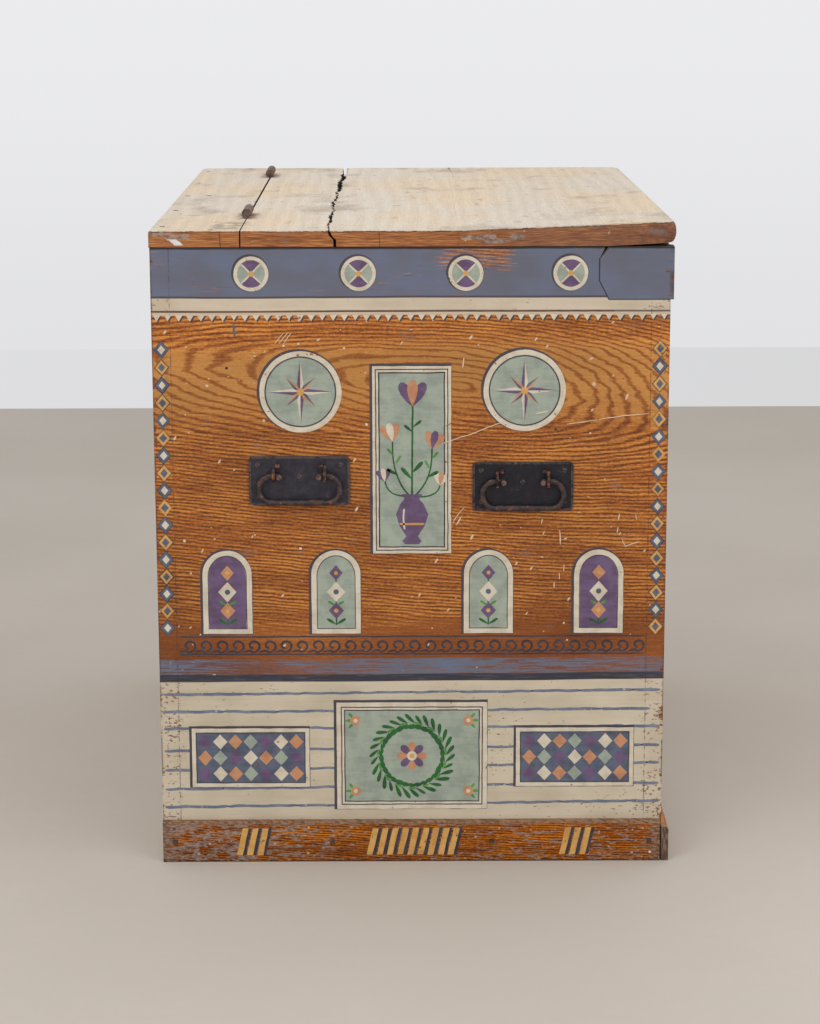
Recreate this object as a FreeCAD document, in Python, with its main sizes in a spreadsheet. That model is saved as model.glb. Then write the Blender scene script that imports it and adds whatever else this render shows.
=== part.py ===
import FreeCAD, Part
import math
import os
import re
import Sketcher

# A painted plank chest: a nailed carcase with a plinth round three sides, a lid that two butt hinges split
# into a nailed strip and a flap that folds right back, and two swinging bail handles on the painted end.
# In millimetres: origin on the floor under the middle of the bottom, +X the front, -Y the painted end, +Z up.

SIZES = {
    # carcase
    "chest_width": 640,
    "chest_length": 886,
    "body_height": 790,
    "board_thickness": 23,
    "bottom_thickness": 20,
    "bottom_nail_stagger": 40,
    # corner repair block
    "block_height": 65,
    "block_reach": 88,
    "block_slant": 12,
    "block_proud": 4,
    # plinth
    "plinth_height": 54,
    "side_plinth_height": 45,
    "plinth_thickness": 9,
    "plinth_bevel": 3,
    "plinth_end_gap": 2.2,
    "plinth_nail_height": 27,
    # lid
    "lid_thickness": 21,
    "lid_gap": 0.6,
    "lid_overhang": 4,
    "strip_overhang": 2,
    "strip_width": 111,
    "joint_gap": 1.6,
    "inner_board_width": 108,
    "middle_board_width": 160,
    "crack_gap": 2.4,
    "crack_wander": 4,
    "nosing_radius": 7,
    "nosing_lift": 5,
    "nosing_run": 75,
    "outer_board_lift": 10,
    "lid_corner_radius": 12,
    "strip_bevel": 3,
    # battens
    "batten_width": 45,
    "batten_thickness": 20,
    "batten_end_gap": 14,
    "batten_bevel": 8,
    "batten_inset": 130,
    # hinges
    "near_hinge_inset": 173,
    "far_hinge_inset": 129,
    "hinge_length": 62,
    "hinge_barrel_radius": 6,
    "hinge_pin_radius": 2.6,
    "hinge_leaf_height": 17,
    "hinge_leaf_thickness": 1.8,
    "hinge_leaf_gap": 0.6,
    "barrel_lift": 0.4,
    "knuckle_gap": 0.3,
    "leaf_screw_spacing": 22,
    # handles
    "handle_spacing": 279,
    "left_handle_drop": 291,
    "right_handle_drop": 299,
    "plate_width": 126,
    "plate_height": 62,
    "plate_thickness": 2.4,
    "plate_corner_radius": 5.5,
    "plate_rim": 3,
    "plate_relief": 0.7,
    "pivot_rise": 7,
    "pivot_reach": 7.6,
    "ear_spacing": 64,
    "ear_thickness": 3.5,
    "ear_reach": 13.4,
    "ear_above": 13.5,
    "ear_below": 7.5,
    "ear_slope": 5.5,
    "ear_bevel": 4,
    "stop_width": 5.5,
    "stop_thickness": 3.2,
    "stop_reach": 9,
    "stop_rise": 11.5,
    "bail_radius": 3.5,
    "bail_bend": 16,
    "bail_drop": 34,
    "bail_stub_bend": 5,
    "bail_stub_length": 2,
    "ear_side_gap": 0.7,
    "plate_screw_across": 104,
    "plate_screw_up": 40,
    "middle_screw_rise": 5,
    # nails and screws
    "nail_shank": 3.2,
    "nail_head": 6.4,
    "nail_head_depth": 1.4,
    "side_nail_length": 55,
    "batten_nail_length": 34,
    "plinth_nail_length": 28,
    "screw_shank_radius": 1.9,
    "screw_head_radius": 3.6,
    "screw_head_depth": 1.1,
    "screw_length": 16,
    # fits
    "pivot_clearance": 0.08,
    "fit_clearance": 0.1,
    "overrun": 10,
}

# Shares of the sizes that they follow, from low to high.
WALL_BOARD_SHARES = (0, 0.36, 0.7, 1)
BLOCK_WAIST_SHARES = (0.36, 0.78)
SIDE_NAIL_SHARES = (0.2, 0.62)
EDGE_NAIL_SHARES = (-0.25, 0.25)
PLINTH_NAIL_SHARES = (-0.475, -0.16, 0.16, 0.475)
STRIP_NAIL_SHARE = 0.67
LID_NAIL_SHARES = (-0.44, -0.22, 0, 0.22, 0.44)
BATTEN_NAIL_SHARES = (0.2, 0.8)
CRACK_ALONG_SHARES = (0, 0.06, 0.13, 0.19, 0.27, 0.31, 0.4, 0.46, 0.55, 0.61, 0.72, 0.8, 0.86, 0.94, 1)
CRACK_ACROSS_SHARES = (0.3, -0.4, 0.1, -0.5, 0.4, -0.3, -0.7, 0.2, -0.6, 0.5, -0.2, 0.6, 0, 0.8, 0.2)
BOTTOM_BOARD_COUNT = 5
KNUCKLE_COUNT = 3
SCREW_SIDES = 6
BAIL_FLATS = 6
NOSING_FLATS = 4

LEFT, RIGHT = -1, 1
NEAR, FAR = -1, 1

doc = FreeCAD.newDocument("PaintedChest")
sheet = doc.addObject("Spreadsheet::Sheet", "Sizes")
for row, (alias, number) in enumerate(SIZES.items(), 1):
    sheet.set(f"A{row}", alias)
    sheet.set(f"B{row}", str(number))
    sheet.setAlias(f"B{row}", alias)
doc.recompute()

nodes = {}


def formula(text):
    """Text in the sheet's words, such as "chest_width / 2", as an expression that reads its cells."""
    return re.sub(r"[a-z_]+", lambda word: f"Sizes.{word[0]}" if word[0] in SIZES else word[0], str(text))


def value(text):
    """What a formula comes to now, in millimetres."""
    return float(sheet.evalExpression(formula(text)))


def bind(thing, **formulas):
    for name, text in formulas.items():
        thing.setExpression(name, formula(text))


def place(thing, x, y, z, rotation=None):
    if rotation:
        thing.Placement = FreeCAD.Placement(FreeCAD.Vector(0, 0, 0), rotation)
    for axis, text in zip("xyz", (x, y, z)):
        thing.setExpression(f"Placement.Base.{axis}", formula(text))


def box(name, x, y, z):
    """A block between pairs of planes, each a low and a high formula."""
    block = doc.addObject("Part::Box", name)
    for size, (low, high) in zip(("Length", "Width", "Height"), (x, y, z)):
        bind(block, **{size: f"({high}) - ({low})"})
    place(block, x[0], y[0], z[0])
    return block


def few_sided_rod(name, radius, low, high):
    """An upright rod between two levels, with few sides because it repeats and little of it shows."""
    rod = doc.addObject("Part::Prism", name)
    rod.Polygon = SCREW_SIDES
    bind(rod, Circumradius=radius, Height=f"({high}) - ({low})")
    place(rod, "0", "0", low)
    return rod


def join(name, pieces):
    fused = doc.addObject("Part::MultiFuse", name)
    fused.Shapes = pieces
    return fused


def cut(name, blank, tools):
    """The blank with every tool taken out of it, one after the other."""
    for i, tool in enumerate(tools, 1):
        result = doc.addObject("Part::Cut", f"{name}_{i}")
        result.Base = blank
        result.Tool = tool
        blank = result
    return blank


def node(thing, name):
    """Makes an object one of the chest's pieces."""
    thing.Label = name
    nodes[name] = thing
    return thing


# Sketches and features

def plane_of(body, role):
    return next(plane for plane in body.Origin.OriginFeatures if plane.Role == role)


def new_sketch(body, name, role, offset="0"):
    """A sketch on one of the body's own origin planes, moved along the plane's normal."""
    sketch = body.newObject("Sketcher::SketchObject", f"{body.Name}_{name}")
    sketch.AttachmentSupport = (plane_of(body, role), [""])
    sketch.MapMode = "FlatFace"
    sketch.setExpression("AttachmentOffset.Base.z", formula(offset))
    return sketch


def pin_place(sketch, line, end, kind, text, axis):
    """Fixes one coordinate of a sketch's point: a formula from the origin, or on the axis where it is 0."""
    if text == "0":
        sketch.addConstraint(Sketcher.Constraint("PointOnObject", line, end, axis))
    else:
        rule = sketch.addConstraint(Sketcher.Constraint(kind, -1, 1, line, end, value(text)))
        sketch.setExpression(f"Constraints[{rule}]", formula(text))


def pin_point(sketch, line, end, across, up):
    """Fixes a point of a sketch at two formulas from its origin."""
    pin_place(sketch, line, end, "DistanceX", across, -2)
    pin_place(sketch, line, end, "DistanceY", up, -1)


def draw_outline(sketch, corners):
    """A closed outline of straight lines through corners, each a pair of formulas."""
    points = [FreeCAD.Vector(value(across), value(up), 0) for across, up in corners]
    first = sketch.GeometryCount
    count = len(corners)
    for i in range(count):
        sketch.addGeometry(Part.LineSegment(points[i], points[(i + 1) % count]), False)
    for i in range(count):
        sketch.addConstraint(Sketcher.Constraint("Coincident", first + i, 2, first + (i + 1) % count, 1))
    for i, (across, up) in enumerate(corners):
        pin_point(sketch, first + i, 1, across, up)


def draw_rectangle(sketch, across, up):
    """A rectangle between two pairs of formulas."""
    (left, right), (low, high) = across, up
    draw_outline(sketch, [(left, low), (right, low), (right, high), (left, high)])


def draw_circle(sketch, across, up, radius):
    centre = FreeCAD.Vector(value(across), value(up), 0)
    circle = sketch.addGeometry(Part.Circle(centre, FreeCAD.Vector(0, 0, 1), value(radius)), False)
    pin_point(sketch, circle, 3, across, up)
    rule = sketch.addConstraint(Sketcher.Constraint("Radius", circle, value(radius)))
    sketch.setExpression(f"Constraints[{rule}]", formula(radius))


def pad(body, sketch, length, name="pad"):
    feature = body.newObject("PartDesign::Pad", f"{body.Name}_{name}")
    feature.Profile = sketch
    bind(feature, Length=length)


def pocket_through(body, sketch, name):
    """Cuts a sketch out of a body to both sides of its plane, and makes sure that it took something."""
    before = body.Tip
    feature = body.newObject("PartDesign::Pocket", f"{body.Name}_{name}")
    feature.Profile = sketch
    feature.Type = "ThroughAll"
    feature.SideType = "Symmetric"
    feature.recompute(True)
    if not feature.Shape.Volume < before.Shape.Volume:
        raise ValueError(f"{feature.Name} cuts nothing")


def round_edges(body, name, radius, chosen):
    """Rounds the edges of a body's last feature that a test picks."""
    base = body.Tip
    base.recompute(True)
    picked = [f"Edge{i}" for i, edge in enumerate(base.Shape.Edges, 1) if chosen(edge)]
    feature = body.newObject("PartDesign::Fillet", f"{body.Name}_{name}")
    feature.Base = (base, picked)
    bind(feature, Radius=radius)


def runs_along(edge, axis):
    """Whether a straight edge runs along an axis, given as "x", "y" or "z"."""
    if edge.Curve.TypeId != "Part::GeomLine":
        return False
    start, end = (vertex.Point for vertex in edge.Vertexes)
    return abs(abs(getattr((end - start).normalize(), axis)) - 1) < Part.Precision.confusion()


def near_to(edge, axis, text):
    """Whether an edge's middle lies at a formula's place along an axis."""
    return abs(getattr(edge.BoundBox.Center, axis) - value(text)) < value("fit_clearance")


def prism(name, role, corners, low, high):
    """A body padded between two places along the normal of an origin plane, from an outline in that plane."""
    body = doc.addObject("PartDesign::Body", name)
    offset = f"-({high})" if role == "XZ_Plane" else low
    sketch = new_sketch(body, "outline", role, offset)
    draw_outline(sketch, corners)
    pad(body, sketch, f"({high}) - ({low})")
    return body


def twisted_board(name, near_corners, far_corners, near, far):
    """A board that runs along Y from one outline to another with as many corners."""
    body = doc.addObject("PartDesign::Body", f"{name}_ends")
    ends = []
    for end, corners, y in (("near", near_corners, near), ("far", far_corners, far)):
        ends.append(new_sketch(body, f"{end}_outline", "XZ_Plane", f"-({y})"))
        draw_outline(ends[-1], corners)
    board = doc.addObject("Part::Loft", name)
    board.Sections = ends
    board.Solid = True
    board.Ruled = True
    return board


# Nails and screws: one master of each size, and links to it wherever one is driven

def towards(direction):
    """Turns a fastener, made with its head at the origin and its point at -Z, to point in a direction."""
    return FreeCAD.Rotation(FreeCAD.Vector(0, 0, -1), FreeCAD.Vector(*direction))


def nail_master(name, length, clearance="0"):
    """A square cut nail with a flat head, or with a clearance the hole that it fits."""
    head = f"nail_head / 2 + {clearance}"
    shank = f"nail_shank / 2 + {clearance}"
    across = (f"-({head})", head)
    pin = (f"-({shank})", shank)
    top = box(name + "_head", across, across, ("-nail_head_depth", clearance))
    rod = box(name + "_shank", pin, pin, (f"-({length}) - {clearance}", "-nail_head_depth / 2"))
    return join(name, [top, rod])


def screw_master(name, clearance="0"):
    """A flat-headed wood screw, or with a clearance the hole that it fits."""
    head = few_sided_rod(name + "_head", f"screw_head_radius + {clearance}", "-screw_head_depth", clearance)
    shank = few_sided_rod(name + "_shank", f"screw_shank_radius + {clearance}",
                          f"-screw_length - {clearance}", "-screw_head_depth / 2")
    return join(name, [head, shank])


def driven(name, master, places):
    """A group of links to a master, each at (x, y, z, direction)."""
    links = []
    for i, (x, y, z, direction) in enumerate(places, 1):
        link = doc.addObject("App::Link", f"{name}_{i}")
        link.LinkedObject = master
        place(link, x, y, z, towards(direction))
        links.append(link)
    group = doc.addObject("Part::Compound", name)
    group.Links = links
    return group


def fasteners(name, master, hole_master, places):
    """Makes the node of a group of fasteners, and returns the holes that they fit."""
    node(driven(name + "_group", master, places), name)
    return driven(name + "_holes", hole_master, places)


side_nail = nail_master("side_nail", "side_nail_length")
side_nail_hole = nail_master("side_nail_hole", "side_nail_length", "fit_clearance")
batten_nail = nail_master("batten_nail", "batten_nail_length")
batten_nail_hole = nail_master("batten_nail_hole", "batten_nail_length", "fit_clearance")
plinth_nail = nail_master("plinth_nail", "plinth_nail_length")
plinth_nail_hole = nail_master("plinth_nail_hole", "plinth_nail_length", "fit_clearance")
screw = screw_master("screw")
screw_hole = screw_master("screw_hole", "fit_clearance")

# Planes that several pieces share

left_face, right_face = "-chest_width / 2", "chest_width / 2"
near_face, far_face = "-chest_length / 2", "chest_length / 2"
inner_left, inner_right = f"{left_face} + board_thickness", f"{right_face} - board_thickness"
inner_near, inner_far = f"{near_face} + board_thickness", f"{far_face} - board_thickness"
flap_bottom, lid_top = "body_height + lid_gap", "body_height + lid_thickness"
hinge_line = f"{left_face} + strip_width"
hinge_axis_height = f"{lid_top} + barrel_lift + hinge_barrel_radius"
wall_height = "(body_height - bottom_thickness)"


def side_middle(side):
    """The middle of a wall board's thickness, on the left or the right."""
    return f"{side} * (chest_width - board_thickness) / 2"


def end_middle(end):
    return f"{end} * (chest_length - board_thickness) / 2"


def wall_level(share):
    return f"bottom_thickness + {wall_height} * {share}"


def level_in_board(i, share):
    """A level at a share of the height of wall board i."""
    low, high = WALL_BOARD_SHARES[i], WALL_BOARD_SHARES[i + 1]
    return wall_level(f"({low} + {high - low} * {share})")


board_edges = [wall_level(share) for share in WALL_BOARD_SHARES]
board_levels = list(zip(board_edges, board_edges[1:]))
bottom_pitch = f"(chest_length / {BOTTOM_BOARD_COUNT})"
bottom_edges = [f"{near_face} + {i} * {bottom_pitch}" for i in range(BOTTOM_BOARD_COUNT + 1)]
bottom_middles = [f"{near_face} + ({i} + 0.5) * {bottom_pitch}" for i in range(BOTTOM_BOARD_COUNT)]

# Where the carcase, the plinth and the strip are nailed

side_nail_holes = fasteners("side_nails", side_nail, side_nail_hole, [
    (f"{side} * chest_width / 2", end_middle(end), level_in_board(i, share), (-side, 0, 0))
    for side in (LEFT, RIGHT) for end in (NEAR, FAR) for i in range(len(board_levels))
    for share in SIDE_NAIL_SHARES])
bottom_nail_holes = fasteners("bottom_nails", side_nail, side_nail_hole, [
    (side_middle(side), f"{y} + bottom_nail_stagger", "0", (0, 0, 1))
    for side in (LEFT, RIGHT) for y in bottom_middles
] + [(f"chest_width * {share}", end_middle(end), "0", (0, 0, 1))
     for end in (NEAR, FAR) for share in EDGE_NAIL_SHARES])
plinth_nail_holes = fasteners("plinth_nails", plinth_nail, plinth_nail_hole, [
    (f"chest_width * {share}", f"{end} * (chest_length / 2 + plinth_thickness)", "plinth_nail_height",
     (0, -end, 0))
    for end in (NEAR, FAR) for share in PLINTH_NAIL_SHARES
] + [(f"{right_face} + plinth_thickness", y, "plinth_nail_height", (-1, 0, 0)) for y in bottom_middles])
lid_nail_holes = fasteners("lid_strip_nails", side_nail, side_nail_hole, [
    (side_middle(LEFT), f"chest_length * {share}", lid_top, (0, 0, -1)) for share in LID_NAIL_SHARES
] + [(f"{left_face} + strip_width * {STRIP_NAIL_SHARE}", end_middle(end), lid_top, (0, 0, -1))
     for end in (NEAR, FAR)])

# Handles: a plate with ears and stop tabs, a bail hooked through the ears, and five screws

HANDLES = {
    "left": (LEFT, "(body_height - left_handle_drop)"),
    "right": (RIGHT, "(body_height - right_handle_drop)"),
}


def mirrored(across):
    """A pair of places the same way out to each side of the plate's middle."""
    return [(f"{side} * ({near})", f"{side} * ({far})") for near, far in [across] for side in (LEFT, RIGHT)]


def handle_plate(name):
    """The plate lies on its XZ plane, thickness to -Y, with its origin in the middle of its back."""
    body = doc.addObject("PartDesign::Body", name)
    outline = new_sketch(body, "outline", "XZ_Plane")
    draw_rectangle(outline, ("-plate_width / 2", "plate_width / 2"),
                   ("-plate_height / 2", "plate_height / 2"))
    pad(body, outline, "plate_thickness")
    round_edges(body, "corners", "plate_corner_radius", lambda edge: runs_along(edge, "y"))
    floor = new_sketch(body, "floor", "XZ_Plane", "plate_thickness - plate_relief")
    draw_rectangle(floor, ("-plate_width / 2 + plate_rim", "plate_width / 2 - plate_rim"),
                   ("-plate_height / 2 + plate_rim", "plate_height / 2 - plate_rim"))
    relief = body.newObject("PartDesign::Pocket", f"{name}_relief")
    relief.Profile = floor
    relief.Reversed = True
    bind(relief, Length="plate_relief + overrun")
    ear_inside = "ear_spacing / 2 - ear_thickness / 2"
    for side in (LEFT, RIGHT):
        ear = new_sketch(body, f"ear_{side + 1}", "YZ_Plane", f"{side} * ear_spacing / 2 - ear_thickness / 2")
        draw_outline(ear, [
            ("-ear_reach + ear_bevel", "pivot_rise - ear_below"),
            ("-plate_thickness / 2", "pivot_rise - ear_below"),
            ("-plate_thickness / 2", "pivot_rise + ear_above"),
            ("-ear_reach", "pivot_rise + ear_slope"),
            ("-ear_reach", "pivot_rise - ear_below + ear_bevel")])
        pad(body, ear, "ear_thickness", f"ear_pad_{side + 1}")
    for i, (left, right) in enumerate(mirrored((f"{ear_inside} - ear_side_gap - stop_width",
                                                f"{ear_inside} - ear_side_gap"))):
        tab = new_sketch(body, f"stop_{i}", "XZ_Plane", "plate_thickness / 2")
        draw_rectangle(tab, (left, right), (stop_level(), f"{stop_level()} + stop_thickness"))
        pad(body, tab, "plate_thickness / 2 + stop_reach", f"stop_pad_{i}")
    pivots = new_sketch(body, "pivots", "YZ_Plane")
    draw_circle(pivots, "-pivot_reach", "pivot_rise", "bail_radius + pivot_clearance")
    pocket_through(body, pivots, "pivot_hole")
    return body


def stop_level():
    """The underside of the stop tabs, just clear of the bail's hooked ends as they come up under it."""
    return "(pivot_rise + stop_rise)"


def plate_screws():
    """The plate's screws: one in the middle and four near the corners."""
    corners = [(f"{side} * plate_screw_across / 2", f"{level} * plate_screw_up / 2")
               for side in (LEFT, RIGHT) for level in (-1, 1)]
    return [("0", "middle_screw_rise")] + corners


def rod_profile(body, name, role, offset):
    """The bail's section: a forged rod, drawn with few flats."""
    section = new_sketch(body, name, role, offset)
    turns = [(i + 0.5) * 2 * math.pi / BAIL_FLATS for i in range(BAIL_FLATS)]
    draw_outline(section, [
        (f"bail_radius * {math.cos(turn):.5f}", f"bail_radius * {math.sin(turn):.5f}") for turn in turns])
    return section


def swept_rod(body, name, section, path):
    rod = body.newObject("PartDesign::AdditivePipe", f"{body.Name}_{name}")
    rod.Profile = section
    rod.Spine = (path, [f"Edge{i + 1}" for i in range(path.GeometryCount)])
    rod.recompute(True)


def bail(name):
    """The bail hangs from its origin on the pivot axis, which is its X axis, with its hooked ends to -Y."""
    body = doc.addObject("PartDesign::Body", name)
    outer = "(ear_spacing / 2 + ear_thickness / 2 + ear_side_gap + bail_bend)"
    inner = "(ear_spacing / 2 - ear_thickness / 2)"
    hook = f"({inner} - ear_side_gap - bail_stub_bend)"
    loop = new_sketch(body, "loop", "XZ_Plane")
    draw_bent_path(loop, [
        (inner, "0"), (outer, "0"), (outer, "-bail_drop"), (f"-{outer}", "-bail_drop"), (f"-{outer}", "0"),
        (f"-{inner}", "0")], "bail_bend")
    swept_rod(body, "rod", rod_profile(body, "section", "YZ_Plane", inner), loop)
    for side, side_name in ((LEFT, "left"), (RIGHT, "right")):
        path = new_sketch(body, f"{side_name}_hook", "XY_Plane")
        draw_bent_path(path, [
            (f"{side} * {inner}", "0"), (f"{side} * {hook}", "0"),
            (f"{side} * {hook}", "-bail_stub_bend - bail_stub_length - bail_radius")], "bail_stub_bend")
        section = rod_profile(body, f"{side_name}_section", "YZ_Plane", f"{side} * {inner}")
        swept_rod(body, f"{side_name}_end", section, path)
    return body


def draw_bent_path(sketch, corners, radius):
    """Level and upright lines through corners, with every turn rounded to one radius."""
    points = [FreeCAD.Vector(value(across), value(up), 0) for across, up in corners]
    reach = value(radius)
    ways = [(after - before).normalize() for before, after in zip(points, points[1:])]
    starts = [points[0]] + [point + way * reach for point, way in zip(points[1:-1], ways[1:])]
    ends = [point - way * reach for point, way in zip(points[1:-1], ways)] + [points[-1]]
    for start, end in zip(starts, ends):
        sketch.addGeometry(Part.LineSegment(start, end), False)
    for i, (way, (across, up)) in enumerate(zip(ways, corners)):
        sketch.addConstraint(Sketcher.Constraint("Horizontal" if way.x else "Vertical", i))
        pin_rule = ("DistanceY", up, -1) if way.x else ("DistanceX", across, -2)
        pin_place(sketch, i, 1, *pin_rule)
    for i, end, way, (across, up) in ((0, 1, ways[0], corners[0]), (len(ways) - 1, 2, ways[-1], corners[-1])):
        pin_rule = ("DistanceX", across, -2) if way.x else ("DistanceY", up, -1)
        pin_place(sketch, i, end, *pin_rule)
    for i, (way, next_way) in enumerate(zip(ways, ways[1:])):
        centre = ends[i] + next_way * reach
        angles = [math.atan2(point.y - centre.y, point.x - centre.x) for point in (ends[i], starts[i + 1])]
        leftwards = way.cross(next_way).z > 0
        first, second = (1, 2) if leftwards else (2, 1)
        circle = Part.Circle(centre, FreeCAD.Vector(0, 0, 1), reach)
        arc = sketch.addGeometry(Part.ArcOfCircle(circle, *(angles if leftwards else angles[::-1])), False)
        sketch.addConstraint(Sketcher.Constraint("Tangent", i, 2, arc, first))
        sketch.addConstraint(Sketcher.Constraint("Tangent", arc, second, i + 1, 1))
        rule = sketch.addConstraint(Sketcher.Constraint("Radius", arc, reach))
        sketch.setExpression(f"Constraints[{rule}]", formula(radius))


def handle(name, side, level):
    """One handle on the painted end: its plate, its bail and its screws, whose holes it returns."""
    x = f"{side} * handle_spacing / 2"
    bed = fasteners(f"{name}_handle_screws", screw, screw_hole, [
        (f"{x} + {across}", f"{near_face} - plate_thickness + plate_relief", f"{level} + {up}", (0, 1, 0))
        for across, up in plate_screws()])
    plate = handle_plate(f"{name}_handle_plate_blank")
    place(plate, x, near_face, level)
    node(cut(f"{name}_handle_plate_cut", plate, [bed]), f"{name}_handle_plate")
    ring = bail(f"{name}_handle_bail")
    place(ring, x, f"{near_face} - pivot_reach", f"{level} + pivot_rise")
    node(ring, ring.Name)
    return bed


handle_screw_holes = [handle(name, *where) for name, where in HANDLES.items()]

# Carcase boards


def corner_block(name, grow="0"):
    """The let-in block's outline, seen from the painted end, through the boards' thickness."""
    outside = f"{right_face} + block_proud + {grow}"
    inside = f"{right_face} - block_reach"
    low = "body_height - block_height"
    waist_low, waist_high = (f"{low} + block_height * {share}" for share in BLOCK_WAIST_SHARES)
    return prism(name, "XZ_Plane", [
        (f"{inside} + block_slant", low), (outside, low), (outside, f"body_height + {grow}"),
        (f"{inside} + block_slant", f"body_height + {grow}"), (inside, waist_high), (inside, waist_low)],
        f"{near_face} - {grow}", inner_near)


node(corner_block("corner_repair_block"), "corner_repair_block")
block_notch = corner_block("corner_block_notch", "overrun")

# Each wall's plan, and what is let into its boards from the outside and into its top board
WALLS = {
    "painted_end": ((inner_left, inner_right), (near_face, inner_near), handle_screw_holes,
                    [lid_nail_holes, block_notch]),
    "far_end": ((inner_left, inner_right), (inner_far, far_face), [], [lid_nail_holes]),
    "left_side": ((left_face, inner_left), (near_face, far_face), [], [lid_nail_holes]),
    "right_side": ((inner_right, right_face), (near_face, far_face), [], [block_notch]),
}
for wall_name, (across, along, wall_tools, top_tools) in WALLS.items():
    board_tools = ([bottom_nail_holes, plinth_nail_holes], [], top_tools)
    for i, (levels, tools) in enumerate(zip(board_levels, board_tools), 1):
        name = f"{wall_name}_board_{i}"
        blank = box(name + "_blank", across, along, levels)
        node(cut(name + "_cut", blank, [side_nail_holes] + wall_tools + tools), name)

for i, (low, high) in enumerate(zip(bottom_edges, bottom_edges[1:]), 1):
    blank = box(f"bottom_board_{i}_blank", (left_face, right_face), (low, high), ("0", "bottom_thickness"))
    node(cut(f"bottom_board_{i}_cut", blank, [bottom_nail_holes, plinth_nail_holes]), f"bottom_board_{i}")

# Plinth boards, bevelled along the top outer edge


def plinth_profile(face, outward, height):
    outer = f"{face} + {outward} * plinth_thickness"
    return [(face, "0"), (outer, "0"), (outer, f"{height} - plinth_bevel"),
            (f"{outer} - {outward} * plinth_bevel", height), (face, height)]


def plinth_board(name, role, profile, low, high):
    blank = prism(name + "_blank", role, profile, low, high)
    node(cut(name + "_cut", blank, [plinth_nail_holes]), name)


for name, face, outward in (("painted_end_plinth", near_face, NEAR), ("far_end_plinth", far_face, FAR)):
    plinth_board(name, "YZ_Plane", plinth_profile(face, outward, "plinth_height"), left_face,
                 f"{right_face} - plinth_end_gap")
plinth_board("right_side_plinth", "XZ_Plane", plinth_profile(right_face, RIGHT, "side_plinth_height"),
             f"{near_face} - plinth_thickness", f"{far_face} + plinth_thickness")

# Hinges: knuckled leaves let into the sawn edges, with the barrel standing on top of the lid

HINGES = {"near": f"{near_face} + near_hinge_inset", "far": f"{far_face} - far_hinge_inset"}
leaf_back = "hinge_leaf_gap / 2 + hinge_leaf_thickness"
leaf_bottom = "-(hinge_barrel_radius + barrel_lift + hinge_leaf_height)"
leaf_middle = "-(hinge_barrel_radius + barrel_lift + hinge_leaf_height / 2)"
knuckle_pitch = f"(hinge_length / {KNUCKLE_COUNT})"
leaf_screw_places = [f"{i} * leaf_screw_spacing" for i in (-1, 0, 1)]


def hinge_leaf(name, side, knuckles):
    """A leaf hanging in the joint to one side of its own Y axis, which is the pin's, with its knuckles."""
    body = doc.addObject("PartDesign::Body", name)
    start = "hinge_leaf_gap / 2" if side == RIGHT else f"-({leaf_back})"
    plate = new_sketch(body, "plate", "YZ_Plane", start)
    draw_rectangle(plate, ("-hinge_length / 2", "hinge_length / 2"),
                   (leaf_bottom, "-hinge_barrel_radius - knuckle_gap"))
    pad(body, plate, "hinge_leaf_thickness")
    necks = new_sketch(body, "necks", "YZ_Plane", start)
    for i in knuckles:
        draw_rectangle(necks, knuckle_ends(i), (f"{leaf_bottom} + hinge_leaf_height / 2", "0"))
    pad(body, necks, "hinge_leaf_thickness", "neck")
    for i in knuckles:
        low, high = knuckle_ends(i)
        ring = new_sketch(body, f"knuckle_{i}", "XZ_Plane", f"-({high})")
        draw_circle(ring, "0", "0", "hinge_barrel_radius")
        pad(body, ring, f"({high}) - ({low})", f"barrel_{i}")
    bore = new_sketch(body, "bore", "XZ_Plane")
    draw_circle(bore, "0", "0", "hinge_pin_radius + pivot_clearance")
    pocket_through(body, bore, "pin_bore")
    return body


def knuckle_ends(i):
    """Where knuckle i begins and ends along the pin, clear of its neighbours."""
    low = f"-hinge_length / 2 + {i} * {knuckle_pitch}"
    return (f"{low} + knuckle_gap / 2", f"{low} + {knuckle_pitch} - knuckle_gap / 2")


def hinge_pin(name):
    """A plain pin, as long as its barrel, on its own Y axis."""
    body = doc.addObject("PartDesign::Body", name)
    section = new_sketch(body, "section", "XZ_Plane", "-hinge_length / 2")
    draw_circle(section, "0", "0", "hinge_pin_radius")
    pad(body, section, "hinge_length")
    return body


def leaf_recess(name, y, side):
    """The shallow bed in a sawn edge that a leaf is let into."""
    deep = f"{hinge_line} + {side} * ({leaf_back} + fit_clearance)"
    across = (deep, hinge_line) if side == LEFT else (hinge_line, deep)
    half = "(hinge_length / 2 + fit_clearance)"
    return box(name, across, (f"{y} - {half}", f"{y} + {half}"),
               (f"{hinge_axis_height} + {leaf_bottom} - fit_clearance", f"{lid_top} + overrun"))


LEAVES = {"strip": (LEFT, range(0, KNUCKLE_COUNT, 2)), "flap": (RIGHT, range(1, KNUCKLE_COUNT, 2))}
recesses, leaf_screw_holes = {}, {}
for leaf_name, (side, knuckles) in LEAVES.items():
    front = f"{hinge_line} + {side} * hinge_leaf_gap / 2"
    bed = fasteners(f"{leaf_name}_hinge_screws", screw, screw_hole, [
        (front, f"{y} + {along}", f"{hinge_axis_height} + {leaf_middle}", (side, 0, 0))
        for y in HINGES.values() for along in leaf_screw_places])
    leaf_screw_holes[leaf_name] = bed
    recesses[leaf_name] = [leaf_recess(f"{name}_{leaf_name}_recess", y, side) for name, y in HINGES.items()]
    for name, y in HINGES.items():
        leaf = hinge_leaf(f"{name}_hinge_{leaf_name}_leaf_blank", side, knuckles)
        place(leaf, hinge_line, y, hinge_axis_height)
        node(cut(f"{name}_hinge_{leaf_name}_leaf_cut", leaf, [bed]), f"{name}_hinge_{leaf_name}_leaf")
for name, y in HINGES.items():
    pin = hinge_pin(f"{name}_hinge_pin")
    place(pin, hinge_line, y, hinge_axis_height)
    node(pin, pin.Name)

# Lid: the nailed strip, then three flap boards along Y, the first two parted by a crack

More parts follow.
